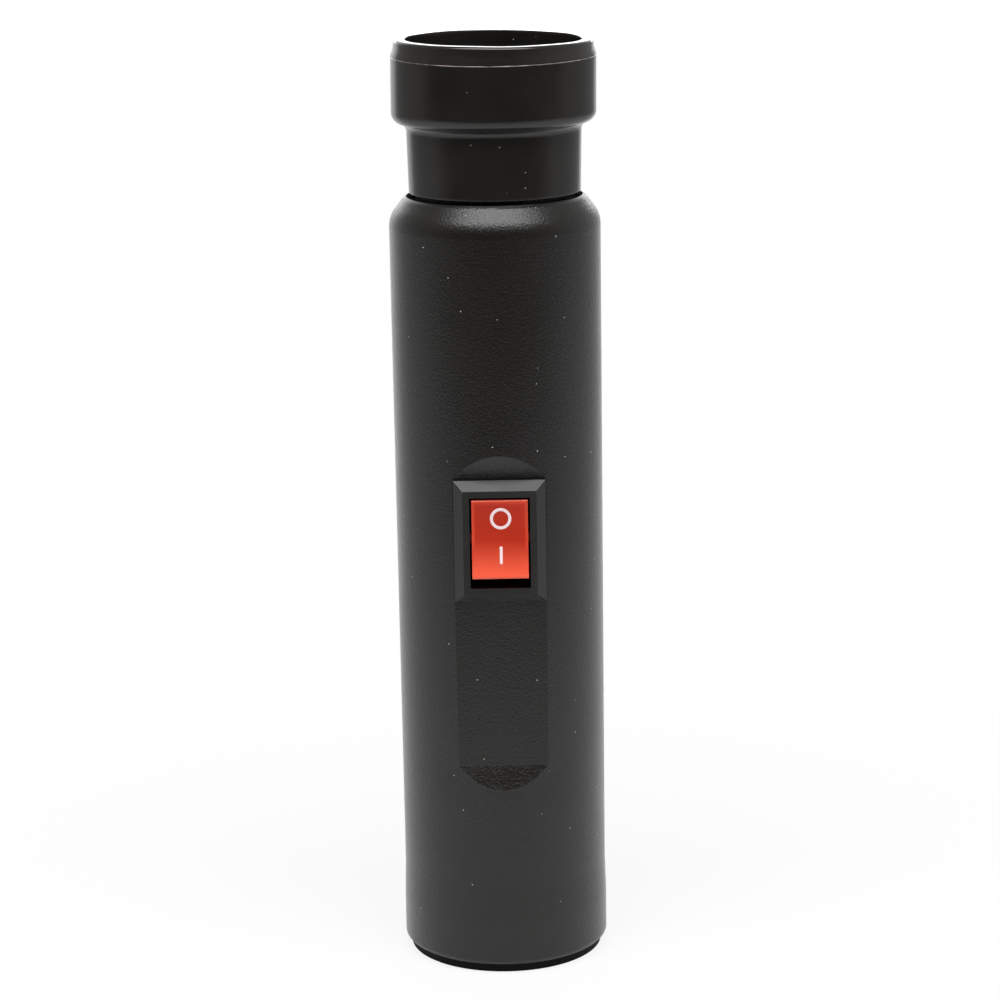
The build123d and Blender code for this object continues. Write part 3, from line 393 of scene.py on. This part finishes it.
red_plastic, tree, shader = start_finish(
    "red_plastic",
    Specular_IOR_Level=0.5,
    Subsurface_Weight=0.35,
    Subsurface_Scale=1.2 * mm,
    Subsurface_Radius=(1.0, 0.25, 0.12),
)
flow = noise(tree, flow_size, detail=3.0)
tree.links.new(remap(tree, flow, *red_gloss), shader.inputs["Roughness"])
red_colour = tint(tree, remap(tree, flow, 0, 1), red_dark, red_light)
on_rocker = add_node(tree, "SeparateXYZ", {"Vector": object_place(tree)})
level = on_rocker.outputs["Z"]
# painted light: the lower end, the sides and the top edge are mixed towards the painted glow
near_end = remap(tree, level, 1, 0, rocker_middle - glow_reach, rocker_middle + glow_start)
near_top = remap(tree, level, 0, top_glow, rocker_top - top_glow_from, rocker_top - top_glow_full)
aside = calc(tree, "ABSOLUTE", on_rocker.outputs["X"])
near_side = remap(tree, aside, 0, side_glow, rocker_half - side_glow_from, rocker_half - side_glow_full)
painted_glow_share = calc(tree, "MAXIMUM", near_end, calc(tree, "MAXIMUM", near_side, near_top))
tree.links.new(cover(tree, painted_glow_share, red_colour, painted_glow_orange), shader.inputs["Base Color"])
emboss(tree, shader, noise(tree, rocker_bump_size), rocker_bump_depth)
dress("red_plastic", red_plastic)

# %% [markdown]
# ## White nylon
# The plunger under the rocker is turned from nylon rod, which is creamy, half matt and lets a
# little light in. Colour and gloss follow one fine noise, as the marks of the turning tool do.

# %% Finish: white nylon
nylon_gloss = (0.4, 0.55)
nylon_dark = (0.78, 0.76, 0.70)
nylon_light = (0.86, 0.85, 0.80)
tool_mark_size = 0.6 * mm

white_nylon, tree, shader = start_finish("white_nylon", Subsurface_Weight=0.2, Subsurface_Scale=mm)
turned_marks = noise(tree, tool_mark_size)
tree.links.new(remap(tree, turned_marks, *nylon_gloss), shader.inputs["Roughness"])
nylon_colour = tint(tree, turned_marks, nylon_dark, nylon_light)
tree.links.new(nylon_colour, shader.inputs["Base Color"])
dress("white_nylon", white_nylon)

# %% [markdown]
# ## Metals
# Brass sheet, spring steel, aluminium and the metallised bowl differ in colour, in how rough
# they are and in the direction of their marks. One recipe serves all four: fine scratches are
# noise drawn out along one axis by a Mapping node, and they feed both gloss and bump.

# %% Finish: metals
tarnish_size = 3 * mm
every_way = (1, 1, 1)
upwards = (1, 1, 0.1)
sideways = (0.1, 1, 1)


def metal(name, dark, light, gloss, squeeze, scratch=0.5 * mm, depth=0.004 * mm):
    """A metal with scratches drawn out along the axis that squeeze makes small."""
    material, tree, shader = start_finish(name, Metallic=1.0)
    drawn = add_node(tree, "Mapping", {"Vector": object_place(tree), "Scale": squeeze})
    marks = add_node(
        tree, "TexNoise", {"Vector": drawn.outputs["Vector"], "Scale": 1 / scratch, "Detail": 4.0}
    ).outputs["Fac"]
    tarnish = noise(tree, tarnish_size, detail=3.0)
    tree.links.new(remap(tree, marks, *gloss), shader.inputs["Roughness"])
    tree.links.new(tint(tree, remap(tree, tarnish, 0, 1), dark, light), shader.inputs["Base Color"])
    emboss(tree, shader, marks, depth)
    dress(name, material)


metal("brass", dark=(0.60, 0.42, 0.17), light=(0.74, 0.56, 0.27), gloss=(0.24, 0.38), squeeze=upwards)
metal(
    "spring_steel",
    dark=(0.50, 0.50, 0.51),
    light=(0.62, 0.62, 0.64),
    gloss=(0.22, 0.34),
    squeeze=every_way,
)
metal("aluminium", dark=(0.66, 0.66, 0.67), light=(0.78, 0.78, 0.80), gloss=(0.28, 0.42), squeeze=sideways)
metal(
    "bright_reflector",
    dark=(0.80, 0.80, 0.81),
    light=(0.86, 0.86, 0.88),
    gloss=(0.05, 0.09),
    squeeze=every_way,
    scratch=2 * mm,
    depth=0,
)

# %% [markdown]
# ## Boards, cells, wires and the lamp
# These pieces stay in the dark until the cap or cup comes off, but each still has its own
# finish: green solder resist, a white lamp board, grey cell sleeves drawn out lengthwise, wire
# insulation, a yellow emitter and a clear lens. One recipe serves all, and only its values differ.

# %% Finish: inner pieces


def coated(name, dark, light, gloss, size, depth, stretch=every_way, **values):
    """A coated or moulded piece whose colour, gloss and bump all follow one noise."""
    material, tree, shader = start_finish(name, **values)
    drawn = add_node(tree, "Mapping", {"Vector": object_place(tree), "Scale": stretch})
    sockets = {"Vector": drawn.outputs["Vector"], "Scale": 1 / size, "Detail": 3.0}
    marks = add_node(tree, "TexNoise", sockets).outputs["Fac"]
    tree.links.new(remap(tree, marks, *gloss), shader.inputs["Roughness"])
    tree.links.new(tint(tree, remap(tree, marks, 0, 1), dark, light), shader.inputs["Base Color"])
    emboss(tree, shader, marks, depth)
    dress(name, material)


coated(
    "board",
    dark=(0.03, 0.13, 0.045),
    light=(0.045, 0.19, 0.07),
    gloss=(0.3, 0.45),
    size=0.5 * mm,
    depth=0.01 * mm,
)
coated(
    "lamp_board",
    dark=(0.74, 0.74, 0.73),
    light=(0.84, 0.84, 0.83),
    gloss=(0.35, 0.5),
    size=0.7 * mm,
    depth=0.006 * mm,
)
coated(
    "cell_can",
    dark=(0.17, 0.18, 0.20),
    light=(0.24, 0.25, 0.28),
    gloss=(0.22, 0.36),
    size=6 * mm,
    depth=0.01 * mm,
    stretch=(1, 1, 0.2),
)
coated(
    "lens_ring",
    dark=(0.016, 0.016, 0.016),
    light=(0.024, 0.024, 0.024),
    gloss=(0.4, 0.55),
    size=0.4 * mm,
    depth=0.01 * mm,
)
coated(
    "emitter",
    dark=(0.80, 0.66, 0.10),
    light=(0.92, 0.80, 0.22),
    gloss=(0.15, 0.3),
    size=0.4 * mm,
    depth=0.004 * mm,
)
coated(
    "resistor",
    dark=(0.56, 0.46, 0.30),
    light=(0.66, 0.56, 0.40),
    gloss=(0.4, 0.55),
    size=0.6 * mm,
    depth=0.02 * mm,
)
coated(
    "red_wire",
    dark=(0.40, 0.02, 0.015),
    light=(0.52, 0.035, 0.025),
    gloss=(0.35, 0.5),
    size=0.8 * mm,
    depth=0.02 * mm,
)
coated(
    "black_wire",
    dark=(0.016, 0.016, 0.016),
    light=(0.028, 0.028, 0.028),
    gloss=(0.35, 0.5),
    size=0.8 * mm,
    depth=0.02 * mm,
)
coated(
    "clear_lens",
    dark=(0.93, 0.95, 0.97),
    light=(0.97, 0.98, 1.0),
    gloss=(0.02, 0.06),
    size=3 * mm,
    depth=0.002 * mm,
    Transmission_Weight=1.0,
    IOR=1.49,
)

# %% [markdown]
# ## A mesh from a grid of points
# Every new piece here is a grid: rows run along its profile, columns run round it. The faces
# follow from arithmetic on whole arrays of row and column numbers, and a grid that wraps both
# ways is a closed skin. Which way its faces look is settled by the sign of the volume it holds.

# %% Grid helper


def mesh_from_grid(name, points):
    """A closed skin over a grid that wraps in rows and columns.

    Each face joins a point to its neighbours in the next row and column. The volume is a sixth of
    the sum of each triangle's triple product, and if it is negative the corners are reversed.
    """
    rows, columns = points.shape[:2]
    row = np.arange(rows)[:, None]
    column = np.arange(columns)[None, :]
    next_row = (row + 1) % rows
    next_column = (column + 1) % columns
    corners = np.stack(
        [
            row * columns + column,
            row * columns + next_column,
            next_row * columns + next_column,
            next_row * columns + column,
        ],
        axis=-1,
    ).reshape(-1, 4)
    flat = points.reshape(-1, 3)
    first, second, third, fourth = (flat[corners[:, k]] for k in range(4))
    halves = np.cross(first, second) * third + np.cross(first, third) * fourth
    if halves.sum() < 0:
        corners = corners[:, ::-1]
    mesh = bpy.data.meshes.new(name)
    mesh.from_pydata(flat.tolist(), [], corners.tolist())
    mesh.shade_smooth()
    piece = bpy.data.objects.new(name, mesh)
    bpy.context.scene.collection.objects.link(piece)
    print(name, len(mesh.vertices), "points, volume", round(abs(halves.sum()) / 6 / mm**3, 2), "mm3")
    return piece


def arc(centre, radius, start, end, count):
    """Points on a circle in the profile's plane, from one angle to another, in degrees."""
    angle = np.radians(np.linspace(start, end, count))
    return np.stack([centre[0] + radius * np.cos(angle), centre[1] + radius * np.sin(angle)], -1)


def run(start, end, count):
    """Points evenly spaced on a straight run of the profile, without its last point."""
    share = np.linspace(0, 1, count, endpoint=False)[:, None]
    return np.array(start) * (1 - share) + np.array(end) * share


print("an arc from 0 to 90 degrees ends at", arc((0, 0), 1, 0, 90, 6)[-1].round(3).tolist())

# %% [markdown]
# ## The rubber cup
# The real cup is one rubber moulding: a neck, a cove, a swell and a thin-walled bowl for the
# egg. Its mould closed near the rim and left a thin flash line there, and the rim itself is not
# quite flat, because rubber shrinks unevenly. A plain spin of the profile would look machined,
# so each point of the profile is also moved by a slow wave round the cup, which grows towards
# the rim, and the flash gets a height that varies from place to place.

# %% Cup sizes, in millimetres
rim_height = cad_box[1].z / mm
band_radius = 16.85
hole_radius = 14.5
swell_radius = 1.9
cove_radius = 1.4
neck_top_radius = 14.4
neck_bottom_radius = 14.2
cove_bottom = 140.6
neck_bottom = 130.4
bore_radius = 13.0
bowl_floor = 146.0
bowl_foot = 144.0
flash_height = 152.55
flash_reach = 0.12
flash_half = 0.035
flash_clear = 0.3
neck_edge_round = 0.35
hole_edge_round = 0.15
rim_taper = 0.5
rim_round = 0.6
taper_step = 0.03
rim_step = 0.1
print("cup from", neck_bottom, "to", round(rim_height, 2), "mm, outer radius", band_radius, "mm")

# %% [markdown]
# ## The cup's profile
# The section of the cup is a closed line from the neck's lower edge up the outside, over the rim
# and down the bowl and the bore. It could be drawn with a Bezier curve, but arcs and straight
# runs keep the cove and the swell tangent: the angle at which they meet has the cosine
# 1 - (change of radius) / (sum of the two radii). The flash is a small fin with extra rows beside
# it, which keep its shading off the long faces above and below.

# %% Cup profile
sweep_angle = math.degrees(
    math.acos(1 - (band_radius - neck_top_radius) / (swell_radius + cove_radius))
)
swell_height = cove_bottom + (swell_radius + cove_radius) * math.sin(math.radians(sweep_angle))
cove_centre = (neck_top_radius + cove_radius, cove_bottom)
swell_centre = (band_radius - swell_radius, swell_height)
rim_outer = band_radius - rim_taper
low_corner = (neck_bottom_radius - neck_edge_round, neck_bottom + neck_edge_round)
rim_corner = (rim_outer - rim_round, rim_height - rim_round)
hole_corner = (hole_radius + hole_edge_round, rim_height - hole_edge_round)
neck_start = (neck_bottom_radius, neck_bottom + 2 * neck_edge_round)
band_start = (band_radius, swell_height + flash_clear)
taper_start = (band_radius - taper_step, flash_height + flash_clear)
taper_end = (rim_outer, rim_height - 2 * rim_round)
rim_start = (rim_outer - rim_round - rim_step, rim_height)
rim_end = (hole_radius + 2 * hole_edge_round, rim_height)
flash_fin = np.array(
    [
        [band_radius, flash_height - 4 * flash_half],
        [band_radius, flash_height - 2 * flash_half],
        [band_radius + flash_reach, flash_height - flash_half],
        [band_radius + flash_reach, flash_height + flash_half],
        [band_radius, flash_height + 2 * flash_half],
        [band_radius, flash_height + 4 * flash_half],
    ]
)
cup_profile = np.vstack(
    [
        arc(low_corner, neck_edge_round, -90, 0, 6),
        run(neck_start, (neck_top_radius, cove_bottom), 20),
        arc(cove_centre, cove_radius, 180, 180 - sweep_angle, 14),
        arc(swell_centre, swell_radius, -sweep_angle, 0, 20)[1:],
        run(band_start, (band_radius, flash_height - flash_clear), 14),
        flash_fin,
        run(taper_start, taper_end, 6),
        arc(rim_corner, rim_round, 0, 90, 8),
        run(rim_start, rim_end, 5),
        arc(hole_corner, hole_edge_round, 90, 180, 6),
        run((hole_radius, rim_height - 4 * hole_edge_round), (hole_radius, bowl_floor), 16),
        run((hole_radius, bowl_floor), (bore_radius, bowl_foot), 4),
        run((bore_radius, bowl_foot), (bore_radius, neck_bottom), 12),
    ]
)
print("profile points", len(cup_profile), "sweep", round(sweep_angle, 1), "degrees")

# %% [markdown]
# ## Carrying the profile round
# A Screw modifier would spin the profile, but then every level would be a true circle. Working
# out the grid gives each point its own small move. The moves are sums of sine waves round the
# cup, each with an amount in millimetres, a number of crests and a phase. A cosine is a sine with
# a phase of a quarter turn.

# %% Waves of the cup
quarter = math.pi / 2
cup_turns = 384
cup_shift = 0.1
bell_width = 2.0
rim_sink = 0.293
sink_waves = [
    (0.185, 1, quarter),
    (0.168, 1, math.pi),
    (0.042, 2, quarter),
    (0.020, 5, 2.1),
    (0.015, 8, 0),
]
swing_waves = [(0.05, 3, 0.8), (0.03, 5, 2.6)]
flash_waves = [(0.185, 2, quarter), (0.05, 1, -quarter)]
torn_depth = 0.06
torn_waves = [(0.030, 23, 1.3), (0.024, 41, 0), (0.018, 67, 2)]


def waves(angle, parts):
    """The sum of sine waves of the angle: amount times the sine of (crests times angle + phase)."""
    return sum(amount * np.sin(crests * angle + phase) for amount, crests, phase in parts)


def rubber_cup_points(profile, turns):
    """The cup's profile carried round the tube's axis, with a slow wave towards the rim.

    A point at radius r and height z goes to (r cos a, r sin a, z). Its rise is the square of how
    far up the bowl it is, from 0 at the cove to 1 at the rim. The rim sinks by that rise times a
    few waves of the angle, most at the front and on the right, and the radius swings by less
    than a tenth of a millimetre. Near the flash a bell curve of the height lets the flash follow
    waves of its own. Points of the flash are torn back by quicker waves, and the whole cup sits a
    little to the right of the axis.
    """
    angle = np.linspace(0, 2 * math.pi, turns, endpoint=False)[None, :]
    radius = profile[:, 0][:, None]
    height = profile[:, 1][:, None]
    rise = np.clip((height - cove_bottom) / (rim_height - cove_bottom), 0, 1) ** 2
    flash_rise = ((flash_height - cove_bottom) / (rim_height - cove_bottom)) ** 2
    bell = np.exp(-(((height - flash_height) / bell_width) ** 2))
    sink = rim_sink + waves(angle, sink_waves)
    follow = waves(angle, flash_waves) + flash_rise * sink
    torn = (radius > band_radius) * (torn_depth + waves(angle, torn_waves))
    radius = radius + waves(angle, swing_waves) * rise - torn
    height = height - sink * rise + follow * bell
    shift = cup_shift * (1 + rise)
    grid = np.stack([shift + radius * np.cos(angle), radius * np.sin(angle), height], -1)
    return grid * mm


print("the rim sinks by", rim_sink, "mm, and its largest wave is", sink_waves[0][0], "mm")

# %% [markdown]
# ## The cup takes the CAD cup's place
# The grid becomes a mesh, and an attribute marks the points of the flash, so that the rubber's
# finish can paint a pale highlight there, a painted highlight on the fin. A second material on the fin's faces
# would do too, but an attribute fades over the edge. The new skin stands for the CAD cup and stays fixed to the
# casing.

# %% Cup mesh
rubber_cup = mesh_from_grid("rubber_cup_skin", rubber_cup_points(cup_profile, cup_turns))
on_fin = np.abs(cup_profile[:, 1] - flash_height) < 1.5 * flash_half
flash_mark = rubber_cup.data.attributes.new("flash", "FLOAT", "POINT")
flash_mark.data.foreach_set("value", np.repeat(on_fin, cup_turns).astype(np.float32))
rubber_cup.data.materials.append(black_rubber)
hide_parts("rubber_cup")
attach(rubber_cup, "casing")

# %% [markdown]
# ## Marks on the rocker
# The switch has the two plain marks that every such rocker has, a ring for off and a bar for
# on, printed in white on its hollow face. Each is a thin skin that follows the face: the
# ring is a small tube bent into a circle and flattened, and the bar is a long narrow one.
# They are placed in the rocker's own frame, which is tipped back about its pivot.

# %% Face of the rocker
tilt_joint = next(joint for joint in frame["joints"] if joint["name"] == "rocker_tilt")
pivot = np.array(tilt_joint["pos_m"]) / mm
rocker_lean = math.radians(-tilt_joint["range_deg"][1] / 2)
face_reach = 5.47
face_half = 6.45
face_radius = face_half / math.sin(-rocker_lean)
inward = np.array([0, math.cos(rocker_lean), math.sin(rocker_lean)])
along = np.array([0, -math.sin(rocker_lean), math.cos(rocker_lean)])
across = np.array([1.0, 0, 0])


def on_face(side, up, proud):
    """Points on the rocker's face: side and up are measured on it, proud is out from it.

    The face is an arc of a circle, so its depth at a height v is the circle's centre plus the
    root of the radius squared less v squared.
    """
    centre = -face_reach - math.sqrt(face_radius**2 - face_half**2)
    depth = centre + np.sqrt(face_radius**2 - up**2) - proud
    return (pivot + side[..., None] * across + depth[..., None] * inward + up[..., None] * along) * mm


print("the rocker leans", round(math.degrees(rocker_lean), 1), "degrees, face radius", round(face_radius, 1))

# %% [markdown]
# ## Ring and bar
# A mark could be an image on the rocker, but then it would blur close up. A skin a few hundredths
# of a millimetre thick keeps its edge sharp. Its section is an oval squared off by raising sine
# and cosine to a small power, so it is flat on top and sunk a little into the face below.

# %% Ring and bar
mark_proud = 0.03
mark_sunk = -0.05
mark_shift = 0.15
square_power = 0.3
ring_place = 3.35
ring_radius = 1.5
ring_half_width = 0.25
bar_place = -2.65
bar_half_length = 1.45
bar_half_width = 0.24
bar_end_power = 60
mark_dark = (0.88, 0.68, 0.70)
mark_light = (0.96, 0.78, 0.80)
ink_size = 0.5 * mm


def flat_oval(sides):
    """Across and proud for points round a squared oval, as powers of cosine and sine."""
    side = np.linspace(0, 2 * math.pi, sides, endpoint=False)[None, :]
    squared = np.sign(np.cos(side)) * np.abs(np.cos(side)) ** square_power
    proud = np.where(np.sin(side) > 0, mark_proud, mark_sunk) * np.abs(np.sin(side)) ** square_power
    return squared, proud


def ring_mark_points(turns, sides):
    """A flattened tube bent into a circle: the oval across the ring, carried round it."""
    turn = np.linspace(0, 2 * math.pi, turns, endpoint=False)[:, None]
    squared, proud = flat_oval(sides)
    distance = ring_radius + ring_half_width * squared
    return on_face(
        mark_shift + distance * np.cos(turn), ring_place + distance * np.sin(turn), proud + 0 * turn
    )


def bar_mark_points(rows, sides):
    """The oval across the bar, carried along it, and closed within a short step at both ends."""
    share = np.linspace(-1, 1, rows)[:, None]
    squared, proud = flat_oval(sides)
    close = (1 - np.abs(share) ** bar_end_power) ** 0.5
    return on_face(
        mark_shift + bar_half_width * squared * close,
        bar_place + bar_half_length * share + 0 * squared,
        proud * close,
    )


mark_white, tree, shader = start_finish("mark_white", Roughness=0.4)
ink = noise(tree, ink_size, detail=3.0)
tree.links.new(tint(tree, ink, mark_dark, mark_light), shader.inputs["Base Color"])
for mark in (
    mesh_from_grid("rocker_ring_mark", ring_mark_points(96, 16)),
    mesh_from_grid("rocker_bar_mark", bar_mark_points(40, 16)),
):
    mark.data.materials.append(mark_white)
    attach(mark, "rocker_body")

# %% [markdown]
# ## The thread on the cap
# The cap's plug screws into the foot of the housing. Its thread is a low rounded ridge that
# winds round the plug and fades at both ends. A ridge is a small section carried along a helix,
# so the whole thread is one grid, with the section shrunk to nothing at the first and last row.

# %% Cap thread
plug_radius = 15.55
thread_height = 0.16
thread_pitch = 2.0
thread_turns = 1.25
thread_bottom = 2.2
thread_half = 0.45
thread_fade = 14


def thread_points(rows, sides):
    """An oval section on a helix: its centre climbs one pitch in each turn of the angle."""
    share = np.linspace(0, 1, rows)[:, None]
    side = np.linspace(0, 2 * math.pi, sides, endpoint=False)[None, :]
    angle = 2 * math.pi * thread_turns * share
    fade = np.clip(np.minimum(share, 1 - share) * thread_fade, 0, 1) ** 0.5
    radius = plug_radius + thread_height * fade * np.cos(side)
    height = thread_bottom + thread_pitch * thread_turns * share + thread_half * fade * np.sin(side)
    return np.stack([radius * np.cos(angle), radius * np.sin(angle), height], -1) * mm


cap_thread = mesh_from_grid("cap_thread", thread_points(240, 12))
cap_thread.data.materials.append(cap_plastic)
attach(cap_thread, "cap")

# %% [markdown]
# ## The studio
# The candler stands on a white table. A wide soft lamp hangs over its front, a sheet of white
# paper stands some way behind, and the room round the camera is dark. That is why the shoulder
# and the bezel's upper bevel shine, the sides have pale edges, and the front is almost black at
# the top, where it mirrors the dark room, and lighter below, where it mirrors the table.
# The paper is only a direction here. How far a level direction turns away from its middle is a
# cosine, and the paper fills all directions whose cosine is above a limit, with a soft edge.

# %% The paper's place, as seen from the candler
paper_turn = math.radians(-6.2)
paper_edge = 0.837
paper_softness = 0.035
paper_light = 1.25


def facing_paper(tree, place):
    """1 towards the paper, 0 away from it: the level direction's cosine against the paper's middle."""
    level = add_node(tree, "VectorMath", {0: place, 1: (1, 1, 0)}, operation="MULTIPLY")
    unit = add_node(tree, "VectorMath", {0: level.outputs["Vector"]}, operation="NORMALIZE")
    middle = (math.sin(paper_turn), math.cos(paper_turn), 0)
    cosine = add_node(tree, "VectorMath", {0: unit.outputs["Vector"], 1: middle}, operation="DOT_PRODUCT")
    low = paper_edge - paper_softness
    return remap(tree, cosine.outputs["Value"], 0, 1, low, paper_edge + paper_softness)


print("paper half width", round(math.degrees(math.acos(paper_edge)), 1), "degrees")

# %% [markdown]
# ## The table
# A white page could be had by more light, but that would burn out the candler too. So for the
# camera the table simply shines white, except near the candler, where a share of the real table
# is kept with its shadow. In reflections its far back is the paper, and towards the camera its
# colour is painted darker, a painted shade for the dark room in front. Lengths here are in metres.

# %% Table
floor_half = 3.0
floor_z = min(cad_box[0].z, 0.0)
table_white = (0.8, 0.8, 0.8)
# painted shade: the table's colour darkens from white at the back to dark towards the camera
table_painted_shade = (0.1, 0.1, 0.1)
painted_shade_from = -0.42
table_white_from = -0.08
kept_shadow = 0.85
shadow_near = 0.05
shadow_far = 0.16
paper_near = 0.16
paper_far = 0.32

floor_mesh = bpy.data.meshes.new("floor")
floor_corners = np.array([[-1, -1], [1, -1], [1, 1], [-1, 1]]) * floor_half
floor_mesh.from_pydata([(x, y, floor_z) for x, y in floor_corners.tolist()], [], [(0, 1, 2, 3)])
floor = bpy.data.objects.new("floor", floor_mesh)
bpy.context.scene.collection.objects.link(floor)
floor_finish, tree, shader = start_finish("floor_white", Roughness=0.9, Specular_IOR_Level=0.1)
table = object_place(tree)
distance = add_node(tree, "VectorMath", {0: table}, operation="LENGTH").outputs["Value"]
towards_back = add_node(tree, "SeparateXYZ", {"Vector": table}).outputs["Y"]
# painted shade: the table's colour fades to dark towards the camera
whiteness = remap(tree, towards_back, 0, 1, painted_shade_from, table_white_from)
tree.links.new(tint(tree, whiteness, table_painted_shade, table_white), shader.inputs["Base Color"])
rays = add_node(tree, "LightPath", {})
camera_share = remap(tree, distance, kept_shadow, 1.0, shadow_near, shadow_far)
for_camera = calc(tree, "MULTIPLY", rays.outputs["Is Camera Ray"], camera_share)
far_enough = remap(tree, distance, 0, 1, paper_near, paper_far)
paper = calc(tree, "MULTIPLY", facing_paper(tree, table), far_enough)
for_gloss = calc(tree, "MULTIPLY", rays.outputs["Is Glossy Ray"], paper)
share = calc(tree, "MAXIMUM", for_camera, for_gloss)
shine = add_node(tree, "Emission", {"Color": (1, 1, 1, 1), "Strength": 1.0})
blend = add_node(tree, "MixShader", {0: share})
tree.links.new(shader.outputs["BSDF"], blend.inputs[1])
tree.links.new(shine.outputs["Emission"], blend.inputs[2])
tree.links.new(blend.outputs["Shader"], tree.nodes["Material Output"].inputs["Surface"])
floor_mesh.materials.append(floor_finish)
print("table", 2 * floor_half, "m wide, at height", floor_z)

# %% [markdown]
# ## The room
# The world is the room as the candler mirrors it: dark at the front, dim at the sides, a little
# window light from the right, and the paper behind, which ends some way up. It could be a picture
# of a room, but a few remapped directions are enough and can be read. For the camera it is white.

# %% World
room_front = 0.04
room_side = 0.32
front_limit = -0.9
side_limit = -0.1
window_light = 0.16
window_start = 0.3
window_full = 0.9
paper_top_start = 0.45
paper_top_end = 0.65

world = bpy.data.worlds.new("studio")
bpy.context.scene.world = world
world.use_nodes = True
tree = world.node_tree
background = tree.nodes["Background"]
direction = add_node(tree, "TexCoord", {}).outputs["Generated"]
split = add_node(tree, "SeparateXYZ", {"Vector": direction})
room = remap(tree, split.outputs["Y"], room_front, room_side, front_limit, side_limit)
window = remap(tree, split.outputs["X"], 0, window_light, window_start, window_full)
lit_room = calc(tree, "ADD", room, window)
below_top = remap(tree, split.outputs["Z"], 1, 0, paper_top_start, paper_top_end)
paper = calc(tree, "MULTIPLY", calc(tree, "MULTIPLY", facing_paper(tree, direction), below_top), paper_light)
camera_ray = add_node(tree, "LightPath", {}).outputs["Is Camera Ray"]
strength = calc(tree, "MAXIMUM", calc(tree, "MAXIMUM", lit_room, paper), camera_ray)
tree.links.new(strength, background.inputs["Strength"])
background.inputs["Color"].default_value = (1, 1, 1, 1)
print("room light", room_front, "to", room_side, "and paper", paper_light)

# %% [markdown]
# ## The lamps
# One wide lamp over the front gives the light level, at which a colour comes out about as it is
# written, and the bright patch on the shoulder. It is oval, so that the patch fades at its ends.
# A weak long one behind lightens the rims. An area lamp shines along its own -Z, so its three
# axes are worked out from its aim, as the camera's were. Lengths here are in metres.

# %% Lamps


def soft_lamp(name, place, aim, width, depth, power):
    """An oval soft lamp at a place, looking at a point, and unseen by the camera.

    Its back axis points from what it lights to the lamp. Its side is the cross product of world
    Y and the back, and its up is the cross product of back and side.
    """
    data = bpy.data.lights.new(name, "AREA")
    data.shape = "ELLIPSE"
    data.size = width
    data.size_y = depth
    data.energy = power
    lamp = bpy.data.objects.new(name, data)
    bpy.context.scene.collection.objects.link(lamp)
    lamp.visible_camera = False
    towards = np.array(aim) - np.array(place)
    back = -towards / np.linalg.norm(towards)
    side = np.cross((0.0, 1.0, 0.0), back)
    side /= np.linalg.norm(side)
    set_axes(lamp, place, side, np.cross(back, side), back)
    print(name, "power", power)


lamp_ahead = -0.31
lamp_height = 0.65
over_front = (0, lamp_ahead, lamp_height)
below_lamp = (0, lamp_ahead, 0)
behind = (0, 0.9, 0.25)
near_cup = (0, 0, 0.14)
soft_lamp("top_lamp", over_front, below_lamp, width=0.84, depth=0.5, power=6.4)
soft_lamp("back_lamp", behind, near_cup, width=0.96, depth=0.16, power=1.2)

# %% [markdown]
# ## Colour handling
# The Standard view shows a colour as it is written, where others would grey the white page.

# %% Colour handling
bpy.context.scene.view_settings.view_transform = "Standard"
